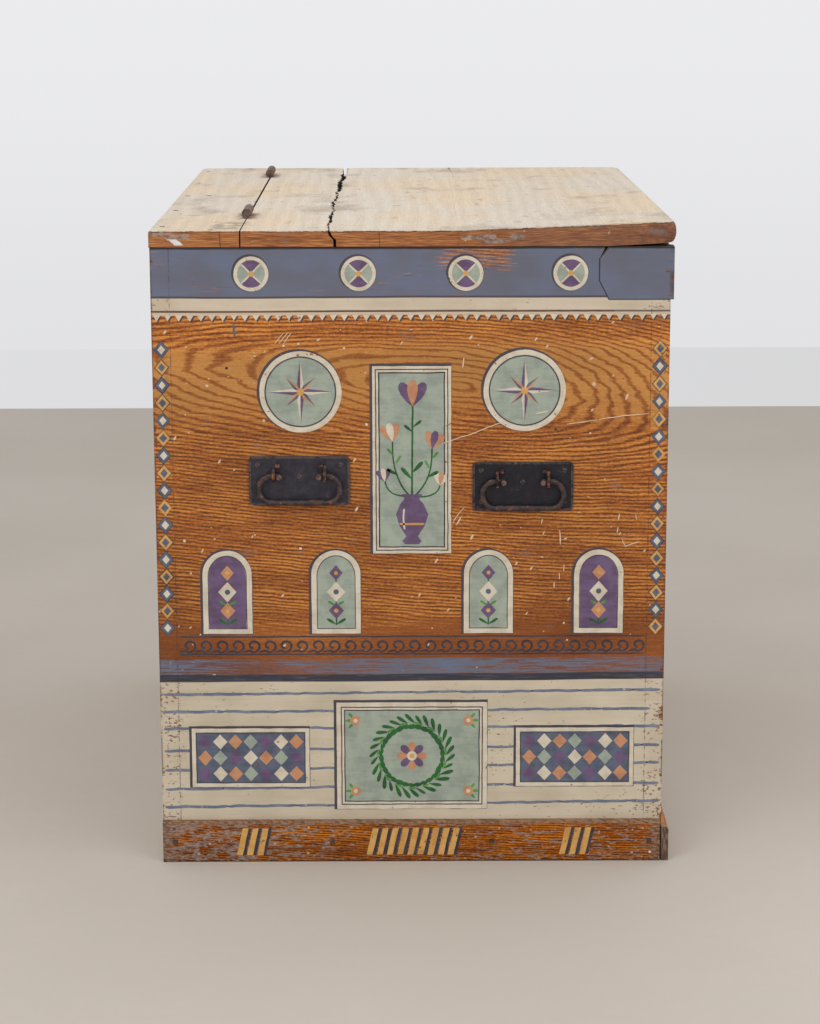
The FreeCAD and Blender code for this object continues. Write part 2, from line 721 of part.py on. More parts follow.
strip_outside, strip_inside = f"{left_face} - strip_overhang", f"{hinge_line} - joint_gap / 2"
strip = prism("lid_strip_blank", "XZ_Plane", [
    (strip_outside, "body_height"), (strip_inside, "body_height"), (strip_inside, lid_top),
    (f"{strip_outside} + strip_bevel", lid_top), (strip_outside, f"{lid_top} - strip_bevel")],
    near_face, far_face)
strip_tools = [lid_nail_holes, leaf_screw_holes["strip"]] + recesses["strip"]
node(cut("lid_strip_cut", strip, strip_tools), "lid_strip")

crack_line = f"{hinge_line} + inner_board_width"
middle_edge = f"{crack_line} + middle_board_width"
right_edge = f"{right_face} + lid_overhang"
batten_near = f"{near_face} + batten_inset"
batten_far = f"{far_face} - batten_inset"
batten_places = {"near": batten_near, "far": batten_far}
batten_left = f"{hinge_line} + batten_end_gap"
batten_right = f"{inner_right} - batten_end_gap"


def crack_side(side):
    """The jagged edge of the board to one side of the crack, from the painted end to the far end."""
    edge = f"{crack_line} + {side} * crack_gap / 2"
    return [(f"{edge} + crack_wander * {across}", f"{near_face} + chest_length * {along}")
            for along, across in zip(CRACK_ALONG_SHARES, CRACK_ACROSS_SHARES)]


inner_edge = f"{hinge_line} + joint_gap / 2"
inner_board = prism("flap_inner_blank", "XY_Plane", [(inner_edge, near_face)] + crack_side(LEFT) + [
    (inner_edge, far_face)], flap_bottom, lid_top)
middle_board = prism("flap_middle_blank", "XY_Plane", [(middle_edge, far_face)] + crack_side(RIGHT)[::-1] + [
    (middle_edge, near_face)], flap_bottom, lid_top)


def outer_outline(lift):
    """The outer board's section, bowed and rounded at its free edge, which stands up to its lift."""
    top = f"{lid_top} + {lift}"
    turns = [i * math.pi / 2 / NOSING_FLATS for i in range(NOSING_FLATS + 1)]
    nosing = [(f"{right_edge} - nosing_radius * {1 - math.cos(turn):.5f}",
               f"{top} - nosing_radius * {1 - math.sin(turn):.5f}") for turn in turns]
    return [(middle_edge, flap_bottom), (f"{right_edge} - nosing_run", flap_bottom),
            (right_edge, f"{flap_bottom} + nosing_lift")] + nosing + [(middle_edge, lid_top)]


bowed_board = twisted_board(
    "flap_outer_bowed", outer_outline("outer_board_lift"), outer_outline("0"), near_face, far_face)
board_plan = prism("flap_outer_plan", "XY_Plane", [
    (middle_edge, near_face), (right_edge, near_face), (right_edge, far_face), (middle_edge, far_face)],
    "body_height", f"{lid_top} + outer_board_lift + overrun")
round_edges(board_plan, "corners", "lid_corner_radius", lambda edge: (
    runs_along(edge, "z") and near_to(edge, "x", right_edge)))
outer_board = doc.addObject("Part::MultiCommon", "flap_outer_blank")
outer_board.Shapes = [bowed_board, board_plan]

flap_boards = {
    "flap_inner_board": (inner_board, inner_edge, crack_line, recesses["flap"] + [leaf_screw_holes["flap"]]),
    "flap_middle_board": (middle_board, crack_line, middle_edge, []),
    "flap_outer_board": (outer_board, middle_edge, batten_right, []),
}
batten_nail_places = [
    (f"({low}) + (({high}) - ({low})) * {share}", y, f"{flap_bottom} - batten_thickness", (0, 0, 1))
    for blank, low, high, tools in flap_boards.values() for share in BATTEN_NAIL_SHARES
    for y in batten_places.values()]
batten_nail_holes = fasteners("batten_nails", batten_nail, batten_nail_hole, batten_nail_places)
for name, (blank, low, high, tools) in flap_boards.items():
    node(cut(name + "_cut", blank, tools + [batten_nail_holes]), name)
for name, y in batten_places.items():
    low, high = f"{flap_bottom} - batten_thickness", flap_bottom
    blank = prism(f"{name}_flap_batten_blank", "XZ_Plane", [
        (f"{batten_left} + batten_bevel", low), (f"{batten_right} - batten_bevel", low),
        (batten_right, f"{low} + batten_bevel"), (batten_right, high), (batten_left, high),
        (batten_left, f"{low} + batten_bevel")], f"{y} - batten_width / 2", f"{y} + batten_width / 2")
    node(cut(f"{name}_flap_batten_cut", blank, [batten_nail_holes]), f"{name}_flap_batten")

# Checks, then one file for each piece

doc.recompute()
failed = [thing.Name for thing in doc.Objects if {"Invalid", "Error"} & set(thing.State)]
if failed:
    raise ValueError(f"These did not build: {failed}")
os.makedirs("parts", exist_ok=True)
for name, thing in nodes.items():
    if thing.Shape.isNull() or not thing.Shape.isValid():
        raise ValueError(f"{name} has no valid shape")
    thing.Shape.exportStep(f"parts/{name}.step")
print(len(nodes), "pieces")
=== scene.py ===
import math
import random

import bmesh
import bpy
from mathutils import Matrix, Vector, noise


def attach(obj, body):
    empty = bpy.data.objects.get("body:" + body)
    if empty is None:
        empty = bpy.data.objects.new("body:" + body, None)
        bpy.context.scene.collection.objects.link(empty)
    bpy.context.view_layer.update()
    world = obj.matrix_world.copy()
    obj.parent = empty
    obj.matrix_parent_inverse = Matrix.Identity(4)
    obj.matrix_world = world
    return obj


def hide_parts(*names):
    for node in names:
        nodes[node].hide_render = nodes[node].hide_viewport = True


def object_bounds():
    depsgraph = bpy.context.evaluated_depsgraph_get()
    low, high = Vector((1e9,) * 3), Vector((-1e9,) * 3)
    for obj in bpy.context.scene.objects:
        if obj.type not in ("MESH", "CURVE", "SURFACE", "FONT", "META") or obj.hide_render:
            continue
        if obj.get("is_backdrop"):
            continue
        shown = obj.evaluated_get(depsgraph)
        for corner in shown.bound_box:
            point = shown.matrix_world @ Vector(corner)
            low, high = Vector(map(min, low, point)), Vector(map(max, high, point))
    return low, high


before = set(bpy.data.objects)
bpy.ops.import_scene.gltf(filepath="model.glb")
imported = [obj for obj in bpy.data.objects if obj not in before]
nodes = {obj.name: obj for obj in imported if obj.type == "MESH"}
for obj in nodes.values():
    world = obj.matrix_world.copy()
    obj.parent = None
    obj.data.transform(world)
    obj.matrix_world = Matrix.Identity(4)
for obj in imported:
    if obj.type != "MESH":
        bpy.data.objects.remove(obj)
cad_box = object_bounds()

# Sizes shared with the model, in millimetres: +X the front, -Y the painted end, +Z up.
# A coat is the step from one layer of paint to the next.
MM = 0.001
HALF_LENGTH = 443.0
BODY_TOP, FLAP_BOTTOM, LID_TOP = 790.0, 790.6, 811.0
HINGE_LINE, JOINT_GAP = -209.0, 1.6
HINGE_BED, BED_DEPTH = 31.1, 2.2
CRACK_LINE, MIDDLE_EDGE, OUTER_LIFT = -101.0, 59.0, 10.0
FACE, PLINTH_FACE = -443.0, -452.0
COAT, COAT_FOOT = 0.12, 0.02
HANDLES = {"left": (-139.5, 499.0), "right": (139.5, 491.0)}
HINGES = {"near": -270.0, "far": 314.0}


def rgb(red, green, blue):
    """A colour as it is seen, 0 to 255, as the shader wants it."""
    def linear(level):
        level /= 255
        return level / 12.92 if level <= 0.04045 else ((level + 0.055) / 1.055) ** 2.4
    return (linear(red), linear(green), linear(blue), 1.0)


# Materials

class Value:
    """A socket that can stand in a sum."""

    def __init__(self, finish, socket):
        self.finish, self.socket = finish, socket

    def math(self, operation, *operands):
        return self.finish.node("ShaderNodeMath", {"operation": operation}, dict(enumerate(operands)))

    def __add__(self, other):
        return self.math("ADD", self, other)

    def __sub__(self, other):
        return self.math("SUBTRACT", self, other)

    def __rsub__(self, other):
        return self.math("SUBTRACT", other, self)

    def __mul__(self, other):
        return self.math("MULTIPLY", self, other)

    def __truediv__(self, other):
        return self.math("DIVIDE", self, other)

    def __pow__(self, other):
        return self.math("POWER", self, other)

    def __neg__(self):
        return self * -1

    def __abs__(self):
        return self.math("ABSOLUTE", self)

    __radd__, __rmul__ = __add__, __mul__

    def sine(self):
        return self.math("SINE", self)

    def most(self, other):
        return self.math("MAXIMUM", self, other)


class Finish:
    """A procedural material, or the world. Every node of it comes from the method of that name."""

    def __init__(self, name, kind="materials", coordinates="Object"):
        self.material = getattr(bpy.data, kind).new(name)
        self.material.use_nodes = True
        self.tree = self.material.node_tree
        self.tree.nodes.clear()
        self.place = self.node("ShaderNodeTexCoord", output=coordinates)
        self.x, self.y, self.z = (
            self.node("ShaderNodeSeparateXYZ", inputs={0: self.place}, output=i) for i in range(3))

    def node(self, kind, settings=(), inputs=(), output=0):
        made = self.tree.nodes.new(kind)
        for name, setting in dict(settings).items():
            setattr(made, name, setting)
        for key, given in dict(inputs).items():
            if isinstance(given, Value):
                self.tree.links.new(given.socket, made.inputs[key])
            else:
                made.inputs[key].default_value = given
        return Value(self, made.outputs[output]) if made.outputs else None

    def flat(self, across, up):
        """A place on an upright face."""
        return self.node("ShaderNodeCombineXYZ", inputs={0: across, 2: up})

    def noise(self, scale, place=None, seed=0.0, detail=2.0, rough=0.5):
        """Noise from 0 to 1 whose features are 1 / scale metres long on each axis."""
        moved = self.node("ShaderNodeVectorMath", {"operation": "MULTIPLY_ADD"},
                          {0: place or self.place, 1: scale, 2: (seed, seed * 1.7, seed * 2.3)})
        return self.node("ShaderNodeTexNoise", inputs={"Vector": moved, "Scale": 1.0, "Detail": detail,
                                                       "Roughness": rough})

    def fade(self, value, low, high):
        """0 below the low mark, 1 above the high one, and smooth between them."""
        return self.node("ShaderNodeMapRange", {"interpolation_type": "SMOOTHSTEP"},
                         {0: value, 1: low, 2: high, 3: 0.0, 4: 1.0})

    def fall(self, value, low, high):
        """1 below the low mark, 0 above the high one."""
        return 1 - self.fade(value, low, high)

    def within(self, value, low, high, soft=0.0004):
        """1 between the marks and 0 outside them."""
        return self.fade(value, low - soft, low + soft) * self.fall(value, high - soft, high + soft)

    def spots(self, across, up, low, high, share):
        """Scattered spots in a share of the unit cells, with edges soft between the two radii."""
        place = self.node("ShaderNodeCombineXYZ", inputs={0: across, 1: up})
        away = self.node("ShaderNodeTexVoronoi", {"voronoi_dimensions": "2D"},
                         {"Vector": place, "Scale": 1.0})
        draw = Value(self, away.socket.node.outputs["Color"])
        chance, size = (self.node("ShaderNodeSeparateColor", inputs={0: draw}, output=i) for i in (0, 1))
        drawn = self.fall(chance, share - 0.01, share + 0.01)
        return self.fall(away / (size + 0.5), low, high) * drawn

    def blend(self, share, first, second):
        return self.node("ShaderNodeMix", {"data_type": "RGBA"}, {0: share, 6: first, 7: second}, output=2)

    def layers(self, colour, *coats):
        """Colours laid over the first one in turn, each with its share."""
        for share, coat in coats:
            colour = self.blend(share, colour, coat)
        return colour

    def ramp(self, value, low, high, first, second):
        """The first colour below the low mark, the second above the high one."""
        return self.blend(self.fade(value, low, high), first, second)

    def darken(self, colour, amount):
        """The colour multiplied by a grey value."""
        grey = self.node("ShaderNodeCombineColor", inputs={0: amount, 1: amount, 2: amount})
        return self.node("ShaderNodeMix", {"data_type": "RGBA", "blend_type": "MULTIPLY"},
                         {0: 1.0, 6: colour, 7: grey}, output=2)

    def surface(self, colour, rough, height, relief, metal=0.0, gloss=0.5):
        """Ends the material: its colour and roughness, and a height that stands up to relief metres."""
        bump = self.node("ShaderNodeBump", inputs={"Strength": 1.0, "Distance": relief, "Height": height})
        shader = self.node("ShaderNodeBsdfPrincipled", inputs={
            "Base Color": colour, "Roughness": rough, "Normal": bump, "Metallic": metal,
            "Specular IOR Level": gloss})
        self.node("ShaderNodeOutputMaterial", inputs={0: shader})
        return self.material


# What the painted end shows, in metres from its middle and from the floor
END = HALF_LENGTH * MM
FLAME_X, FLAME_Z = 0.054, 0.625
FRIEZE_FOOT, MOULDING_HEIGHT = 0.728, 0.0155
UPPER_INK, LOWER_INK, LIGHT_LINE = (0.7278, 0.7303), (0.7103, 0.7127), (0.7068, 0.7102)
GRAINED, SLATE_STRING, DARK_STRING, STOREY_TOP = (0.2685, 0.71), (0.248, 0.2685), (0.2388, 0.248), 0.2385
BLOCK_LEFT, BLOCK_FOOT, POST_INNER = 0.232, 0.725, 0.297
# Near-black brown for painted shadow under the lid and on its underside
SHADOW_TONE = rgb(40, 29, 26)


def oak_graining(f, run, up, flat, richness=0.0):
    """Brushed and combed imitation oak: colour and height. Flames lie high up, fine lines below."""
    across = run + END
    drift = f.noise((2.4, 1, 6.0), flat, seed=3.1, detail=1.5) - 0.5
    ripple = f.noise((15, 1, 60), flat, seed=8.4) - 0.5
    jitter = f.noise((95, 1, 270), flat, seed=1.2, detail=1.0) - 0.5
    sideways = across - FLAME_X + drift * 0.12
    upward = (up - FLAME_Z + across * 0.13 + drift * 0.035) * 139
    sideways = sideways * (26 + f.fade(sideways, -0.06, 0.06) * 14)
    rings = (sideways * sideways + upward * upward) ** 0.5
    lines = ((0.56 - up).most(0.0) + (up - 0.665).most(0.0)) * 85
    phase = rings + lines + drift * 3.6 + ripple * 1.6 + jitter * 0.3
    wave = (phase * (2 * math.pi)).sine() * 0.5 + 0.5
    strength = f.fade(f.noise((7, 1, 42), flat, seed=5.2), 0.28, 0.72)
    flame = f.fade(up + drift * 0.08, 0.555, 0.625) * f.fall(up + drift * 0.05, 0.655, 0.69)
    fibre = f.noise((26, 1, 640), flat, seed=5.5, detail=3.0, rough=0.68)
    comb = f.noise((75, 1, 1500), flat, seed=2.2, detail=1.0)
    mottle = f.noise((240, 1, 420), flat, seed=7.7, rough=0.6)
    tone = f.noise((3.2, 1, 8), flat, seed=12.5)
    plain = f.fall(up + drift * 0.03, 0.298, 0.335) * (1 - richness)
    texture = (comb - 0.5) * 0.5 + (mottle - 0.5) * 1.0
    lined = f.fade(wave, 0.0, 0.85) * (0.28 + strength * 0.38) + (fibre - 0.5) * 1.4 + texture + 0.17
    smooth = (fibre - 0.5) * 0.7 + (tone - 0.5) * 1.2 + (mottle - 0.5) * 0.5 + 0.42
    lined = lined + (smooth - lined) * plain
    flamed = f.fade(wave, 0.0, 0.45) * 0.62 + (fibre - 0.5) * 0.8 + texture * 0.7 + 0.24
    value = lined * (1 - flame) + flamed * flame
    dark = f.blend(flame, rgb(106, 53, 20), rgb(140, 78, 32))
    middle = f.blend(flame, f.blend(plain, rgb(170, 98, 38), rgb(154, 84, 32)), rgb(176, 110, 50))
    light = f.blend(flame, rgb(216, 144, 66), rgb(202, 142, 74))
    if richness:
        dark, middle, light = (f.blend(richness, *pair) for pair in (
            (dark, rgb(76, 32, 4)), (middle, rgb(148, 76, 10)), (light, rgb(206, 126, 30))))
    colour = f.ramp(value, 0.02, 0.5, dark, middle)
    colour = f.ramp(value, 0.42, 1.0, colour, light)
    # Painted light and shade: the field darker low down, most at the far left, and lighter near its top and
    # towards the right end
    low = f.fall(up, 0.34, 0.47) * (0.14 + f.fall(f.x, -0.3, -0.255) * 0.11) * (1 - richness)
    lit = f.fade(up, 0.65, 0.675) * 0.16 - low - flame * 0.05 + f.fade(f.x, 0.255, 0.31) * 0.1
    return f.darken(colour, 0.89 + f.fade(tone, 0.3, 0.7) * 0.2 + lit), value


def bare_pine(f, along, across, up):
    """Bare weathered pine with the grain along one axis: colour and height."""
    place = f.node("ShaderNodeCombineXYZ", inputs={0: across, 1: along, 2: up})
    drift = f.noise((9, 1.3, 9), place, seed=4.4) - 0.5
    rings = ((across * 46 + drift * 3.4 + up * 30) * (2 * math.pi)).sine() * 0.5 + 0.5
    fibre = f.noise((620, 13, 620), place, seed=6.1, detail=3.0, rough=0.65)
    dots = f.noise((430, 210, 430), place, seed=9.3, detail=1.0)
    stain = f.noise((11, 7, 11), place, seed=15.7, detail=4.0, rough=0.62)
    warm = f.noise((6, 3, 6), place, seed=21.9)
    colour = f.ramp(warm, 0.4, 0.66, rgb(219, 208, 193), rgb(225, 204, 177))
    colour = f.layers(
        colour,
        (rings * 0.24, rgb(196, 175, 149)),
        (f.fade(stain, 0.52, 0.72) * 0.72, rgb(164, 148, 130)))
    colour = f.darken(colour, 0.94 + (fibre - 0.5) * 0.36 + (dots - 0.5) * 0.5)
    return colour, fibre * 0.6 + dots * 0.25 + rings * 0.15


def scars(f, run, up, colour):
    """Short slanted nicks down to the pale ground, a few dark pits and dull bruises."""
    wander = f.noise((45, 1, 45), f.flat(run, up), seed=31.0) - 0.5
    along, across = run * 0.55 + up * 0.83, up * 0.55 - run * 0.83
    nicks = f.spots(along * 20 + wander * 0.2, across * 50 + wander * 0.3, 0.03, 0.06, 0.2)
    chips = f.spots(run * 36 + wander * 0.6, up * 44 + wander * 0.4, 0.025, 0.05, 0.14)
    pits = f.spots(run * 61 + 7.0, up * 67, 0.025, 0.05, 0.2)
    bruise = f.fade(f.noise((26, 1, 34), f.flat(run, up), seed=36.0, detail=3.0), 0.66, 0.74)
    colour = f.layers(
        colour,
        (bruise * 0.35, rgb(128, 104, 96)),
        (pits * 0.7, rgb(74, 48, 34)))
    return f.blend(nicks.most(chips) * 0.88, colour, rgb(228, 208, 178))


def painted_boards():
    """The carcase boards: plain bands of paint and graining outside, bare pine inside and in the joints, with
    painted shade inside, on the top edges and under the lid.
    """
    f = Finish("painted_pine_boards")
    run = f.x + f.y
    flat = f.flat(run, f.z)
    sway = (f.noise((6, 1, 6), flat, seed=17.0) - 0.5) * 0.0032
    level = f.z + sway
    brush = f.noise((9, 1, 300), flat, seed=23.0, detail=3.0, rough=0.6)
    blotch = f.noise((14, 1, 26), flat, seed=27.0, detail=3.0)
    oak, oak_height = oak_graining(f, run, f.z, flat)
    oak = scars(f, run, f.z, oak)
    slate = f.ramp(blotch, 0.3, 0.7, rgb(106, 107, 121), rgb(108, 116, 138))
    slate = f.darken(slate, 0.95 + brush * 0.12)
    streak = f.noise((34, 1, 760), flat, seed=35.0, detail=3.0, rough=0.64)
    near_end = f.fall(abs(f.y + END), 0.001, 0.002)
    heavy = f.within(f.x, 0.03, 0.125, 0.02) * f.fade(f.z, 0.735, 0.785) * near_end
    worn = f.noise((5, 1, 16), flat, seed=38.0)
    string = f.fall(level, 0.4, 0.41)
    heavy = heavy * 0.26 + string * (0.13 + f.fall(f.x, -0.3, 0.1) * near_end * 0.05)
    worn_through = f.fade(streak + (worn - 0.5) * 0.55 + heavy, 0.63, 0.72)
    slate_worn = f.blend(worn_through * 0.8, slate, f.darken(oak, 0.94))
    cream = f.ramp(blotch, 0.35, 0.7, rgb(219, 203, 180), rgb(206, 189, 164))
    cream = f.darken(cream, 0.89 + brush * 0.2)
    posts = f.fade(abs(run + near_end * END), 0.286, 0.3) * near_end
    crowd = f.fade(f.noise((7, 1, 9), flat, seed=43.0), 0.42, 0.72) * 0.06
    crowd = crowd + posts * (0.1 - f.fade(f.x, 0.0, 0.1) * 0.03)
    crowd = crowd + f.fade(f.x, 0.2, 0.32) * near_end * 0.025
    flecks = f.fade(f.noise((190, 1, 330), flat, seed=41.0, detail=3.0, rough=0.62) + crowd, 0.7, 0.735)
    cream = f.blend(flecks * 0.7, cream, rgb(138, 104, 80))
    ink = rgb(76, 66, 72)

    # From the top: slate frieze, cream moulding, graining, slate and dark string, cream storey
    cut_below, cut_above = (0.7484 - f.z).most(0.0) * (12 / 23.4), (f.z - 0.7757).most(0.0) * (12 / 14.3)
    corner = f.x - BLOCK_LEFT - cut_below - cut_above
    let_in = f.fade(corner, -0.0006, 0.0) * near_end
    frieze_foot = FRIEZE_FOOT - let_in * 0.0026
    colour = f.ramp(level - frieze_foot, -0.0004, 0.0004, oak, slate_worn)
    colour = f.layers(
        colour,
        (f.within(level - frieze_foot, -MOULDING_HEIGHT, 0.0), cream),
        (f.within(level, *UPPER_INK, 0.0005) * (1 - let_in) * 0.85, ink),
        (f.within(level, *LOWER_INK, 0.0005) * 0.85, ink),
        (f.within(level, *LIGHT_LINE, 0.0005) * 0.92, rgb(214, 198, 172)))
    tilted = level - f.x * near_end * 0.0045
    colour = f.layers(
        colour,
        (f.within(tilted, *SLATE_STRING), slate_worn),
        (f.within(tilted, *DARK_STRING), f.ramp(streak, 0.5, 0.7, rgb(54, 54, 64), rgb(84, 85, 95))))
    lower = f.fall(tilted, STOREY_TOP - 0.0004, STOREY_TOP + 0.0004)
    pale = f.ramp(blotch, 0.3, 0.75, rgb(214, 200, 178), rgb(198, 184, 160))
    pale = f.darken(pale, 0.89 + brush * 0.2)
    under = f.ramp(blotch, 0.4, 0.6, rgb(120, 80, 54), rgb(150, 94, 54))
    pale = f.blend(flecks * 0.9, pale, under)
    colour = f.blend(lower, colour, pale)

    # Wear at the arrises and the joint lines of the corners and of the let-in block
    outer_edge = near_end * f.fade(abs(f.x), 0.3175, 0.3195)
    dark_edge = outer_edge * f.fade(f.noise((60, 60, 34), seed=53.0), 0.36, 0.56)
    colour = f.blend(dark_edge * 0.7, colour, rgb(76, 62, 58))
    chipped = f.noise((90, 1, 110), seed=57.0, detail=3.0, rough=0.6) + f.fade(abs(f.x), 0.308, 0.3195) * 0.2
    low_right = f.within(f.z, 0.055, 0.235, 0.03) * f.fade(f.x, 0.28, 0.3) * 0.06
    chipped = f.fade(chipped + low_right, 0.77, 0.81) * near_end * f.fade(abs(f.x), 0.309, 0.313)
    colour = f.blend(chipped * 0.9, colour, f.ramp(streak, 0.4, 0.6, rgb(150, 84, 44), rgb(84, 58, 46)))
    seam = f.fall(abs(abs(f.x) - POST_INNER), 0.0003, 0.0011) * near_end
    on_block = f.fade(f.z, BLOCK_FOOT - 0.0004, BLOCK_FOOT - 0.0002) * near_end
    block_line = f.fall(abs(corner), 0.0005, 0.0012) * on_block
    foot_line = f.fall(abs(f.z - BLOCK_FOOT), 0.0004, 0.001) * let_in
    seam_strength = 0.5 * f.fade(f.noise((1, 1, 120), seed=59.0, detail=3.0), 0.4, 0.6) + 0.1
    clear = 1 - f.fade(corner, -0.004, -0.003) * f.fade(f.z, 0.7235, 0.7238)
    colour = f.layers(
        colour,
        (seam * seam_strength * clear, rgb(62, 48, 42)),
        (block_line.most(foot_line) * 0.85, rgb(34, 28, 30)))
    # Painted shadow: a dark band along the top of the walls, just under the lid
    shadow_under_lid = f.fade(f.z + (streak - 0.5) * 0.003, 0.7873, 0.7886) * f.fade(f.z, 0.7872, 0.7882)
    colour = f.blend(shadow_under_lid * 0.9, colour, SHADOW_TONE)
    shade = f.fade(f.noise((2.1, 2.1, 3.0), seed=61.0, detail=3.0), 0.3, 0.75)
    colour = f.darken(colour, 0.94 + shade * 0.08)

    inside, inside_height = bare_pine(f, run, f.z, f.x - f.y)
    outside = f.fade(abs(f.x), 0.3192, 0.3196).most(f.fade(abs(f.y), 0.4422, 0.4426))
    # Bare pine inside and in the joints, darker in painted shade
    colour = f.blend(outside, f.darken(inside, 0.8), colour)
    # The walls' top edges dark brown: dirt, and painted shade in the slit under the lid
    colour = f.blend(f.fade(f.z, 0.7896, 0.7899) * 0.85, colour, rgb(62, 48, 40))
    grained = f.within(level, *GRAINED) * 0.6
    relief = f.blend(outside, inside_height, oak_height * grained + brush * 0.25)
    return f.surface(colour, 0.5 + brush * 0.22, relief, 0.0004, gloss=0.36)


def plinth_boards():
    """Grained like the boards above, but rubbed back in mauve-grey patches, and dark at the foot from scuffs
    and painted shade.
    """
    f = Finish("plinth_paint")
    run = f.x + f.y
    flat = f.flat(run, f.z)
    oak, oak_height = oak_graining(f, run, f.z * 1.4, flat, 1.0)
    patch = f.noise((72, 1, 290), flat, seed=71.0, detail=3.5, rough=0.62)
    wide = f.noise((7, 1, 9), flat, seed=74.0, detail=1.0)
    left = f.fall(f.x, -0.29, -0.1) * 0.07 + f.fall(f.x, -0.31, -0.21) * 0.085
    rubbed = f.fade(patch + (wide - 0.5) * 0.3 + left - f.fade(f.x, 0.0, 0.12) * 0.012, 0.55, 0.585)
    fleck = f.noise((160, 1, 420), flat, seed=77.0, detail=3.0, rough=0.62)
    grey = f.ramp(fleck, 0.34, 0.66, rgb(120, 95, 80), rgb(174, 150, 138))
    colour = f.blend(rubbed * 0.9, oak, grey)
    pale = f.spots(run * 70, f.z * 80, 0.05, 0.12, 0.2)
    colour = f.blend(pale * 0.8, colour, rgb(206, 186, 164))
    # The foot dark: scuffs, and painted shade along the floor
    foot = f.fall(f.z + (fleck - 0.5) * 0.006, 0.0008, 0.003)
    corner = f.fade(abs(f.x + 0.003) + (fleck - 0.5) * 0.04, 0.296, 0.318)
    corner = corner * f.fade(abs(f.y), 0.428, 0.45) * 0.85
    colour = f.layers(
        colour,
        (corner, f.ramp(fleck, 0.4, 0.62, rgb(92, 68, 55), rgb(158, 128, 108))),
        (foot * 0.8, rgb(52, 38, 32)))
    # Painted shade: the boards darker in their lowest few centimetres, towards the floor
    colour = f.darken(colour, 0.86 + f.fade(f.z, 0.01, 0.034) * 0.16)
    rim = f.fade(f.z + (fleck - 0.5) * 0.008, 0.0488, 0.0512)
    colour = f.blend(rim * 0.85, colour, f.ramp(fleck, 0.38, 0.6, rgb(102, 74, 52), rgb(148, 116, 90)))
    end_grain = f.fade(f.x, 0.3199, 0.3201) * f.fade(-f.y, 0.4516, 0.4519)
    fibre_ends = f.noise((500, 1, 90), flat, seed=79.0, detail=3.0)
    sawn = f.ramp(fibre_ends, 0.4, 0.64, rgb(88, 68, 56), rgb(136, 112, 94))
    colour = f.blend(end_grain, colour, sawn)
    height = oak_height * 0.4 + rubbed * 0.4 + fleck * 0.4
    return f.surface(colour, 0.55 + rubbed * 0.25, height, 0.0006, gloss=0.2)


WORN_PLACES = ((-0.301, -0.267, 0.799, 0.8055), (0.06, 0.105, 0.7975, 0.8055), (0.124, 0.139, 0.798, 0.8055),
               (0.16, 0.182, 0.8, 0.809))


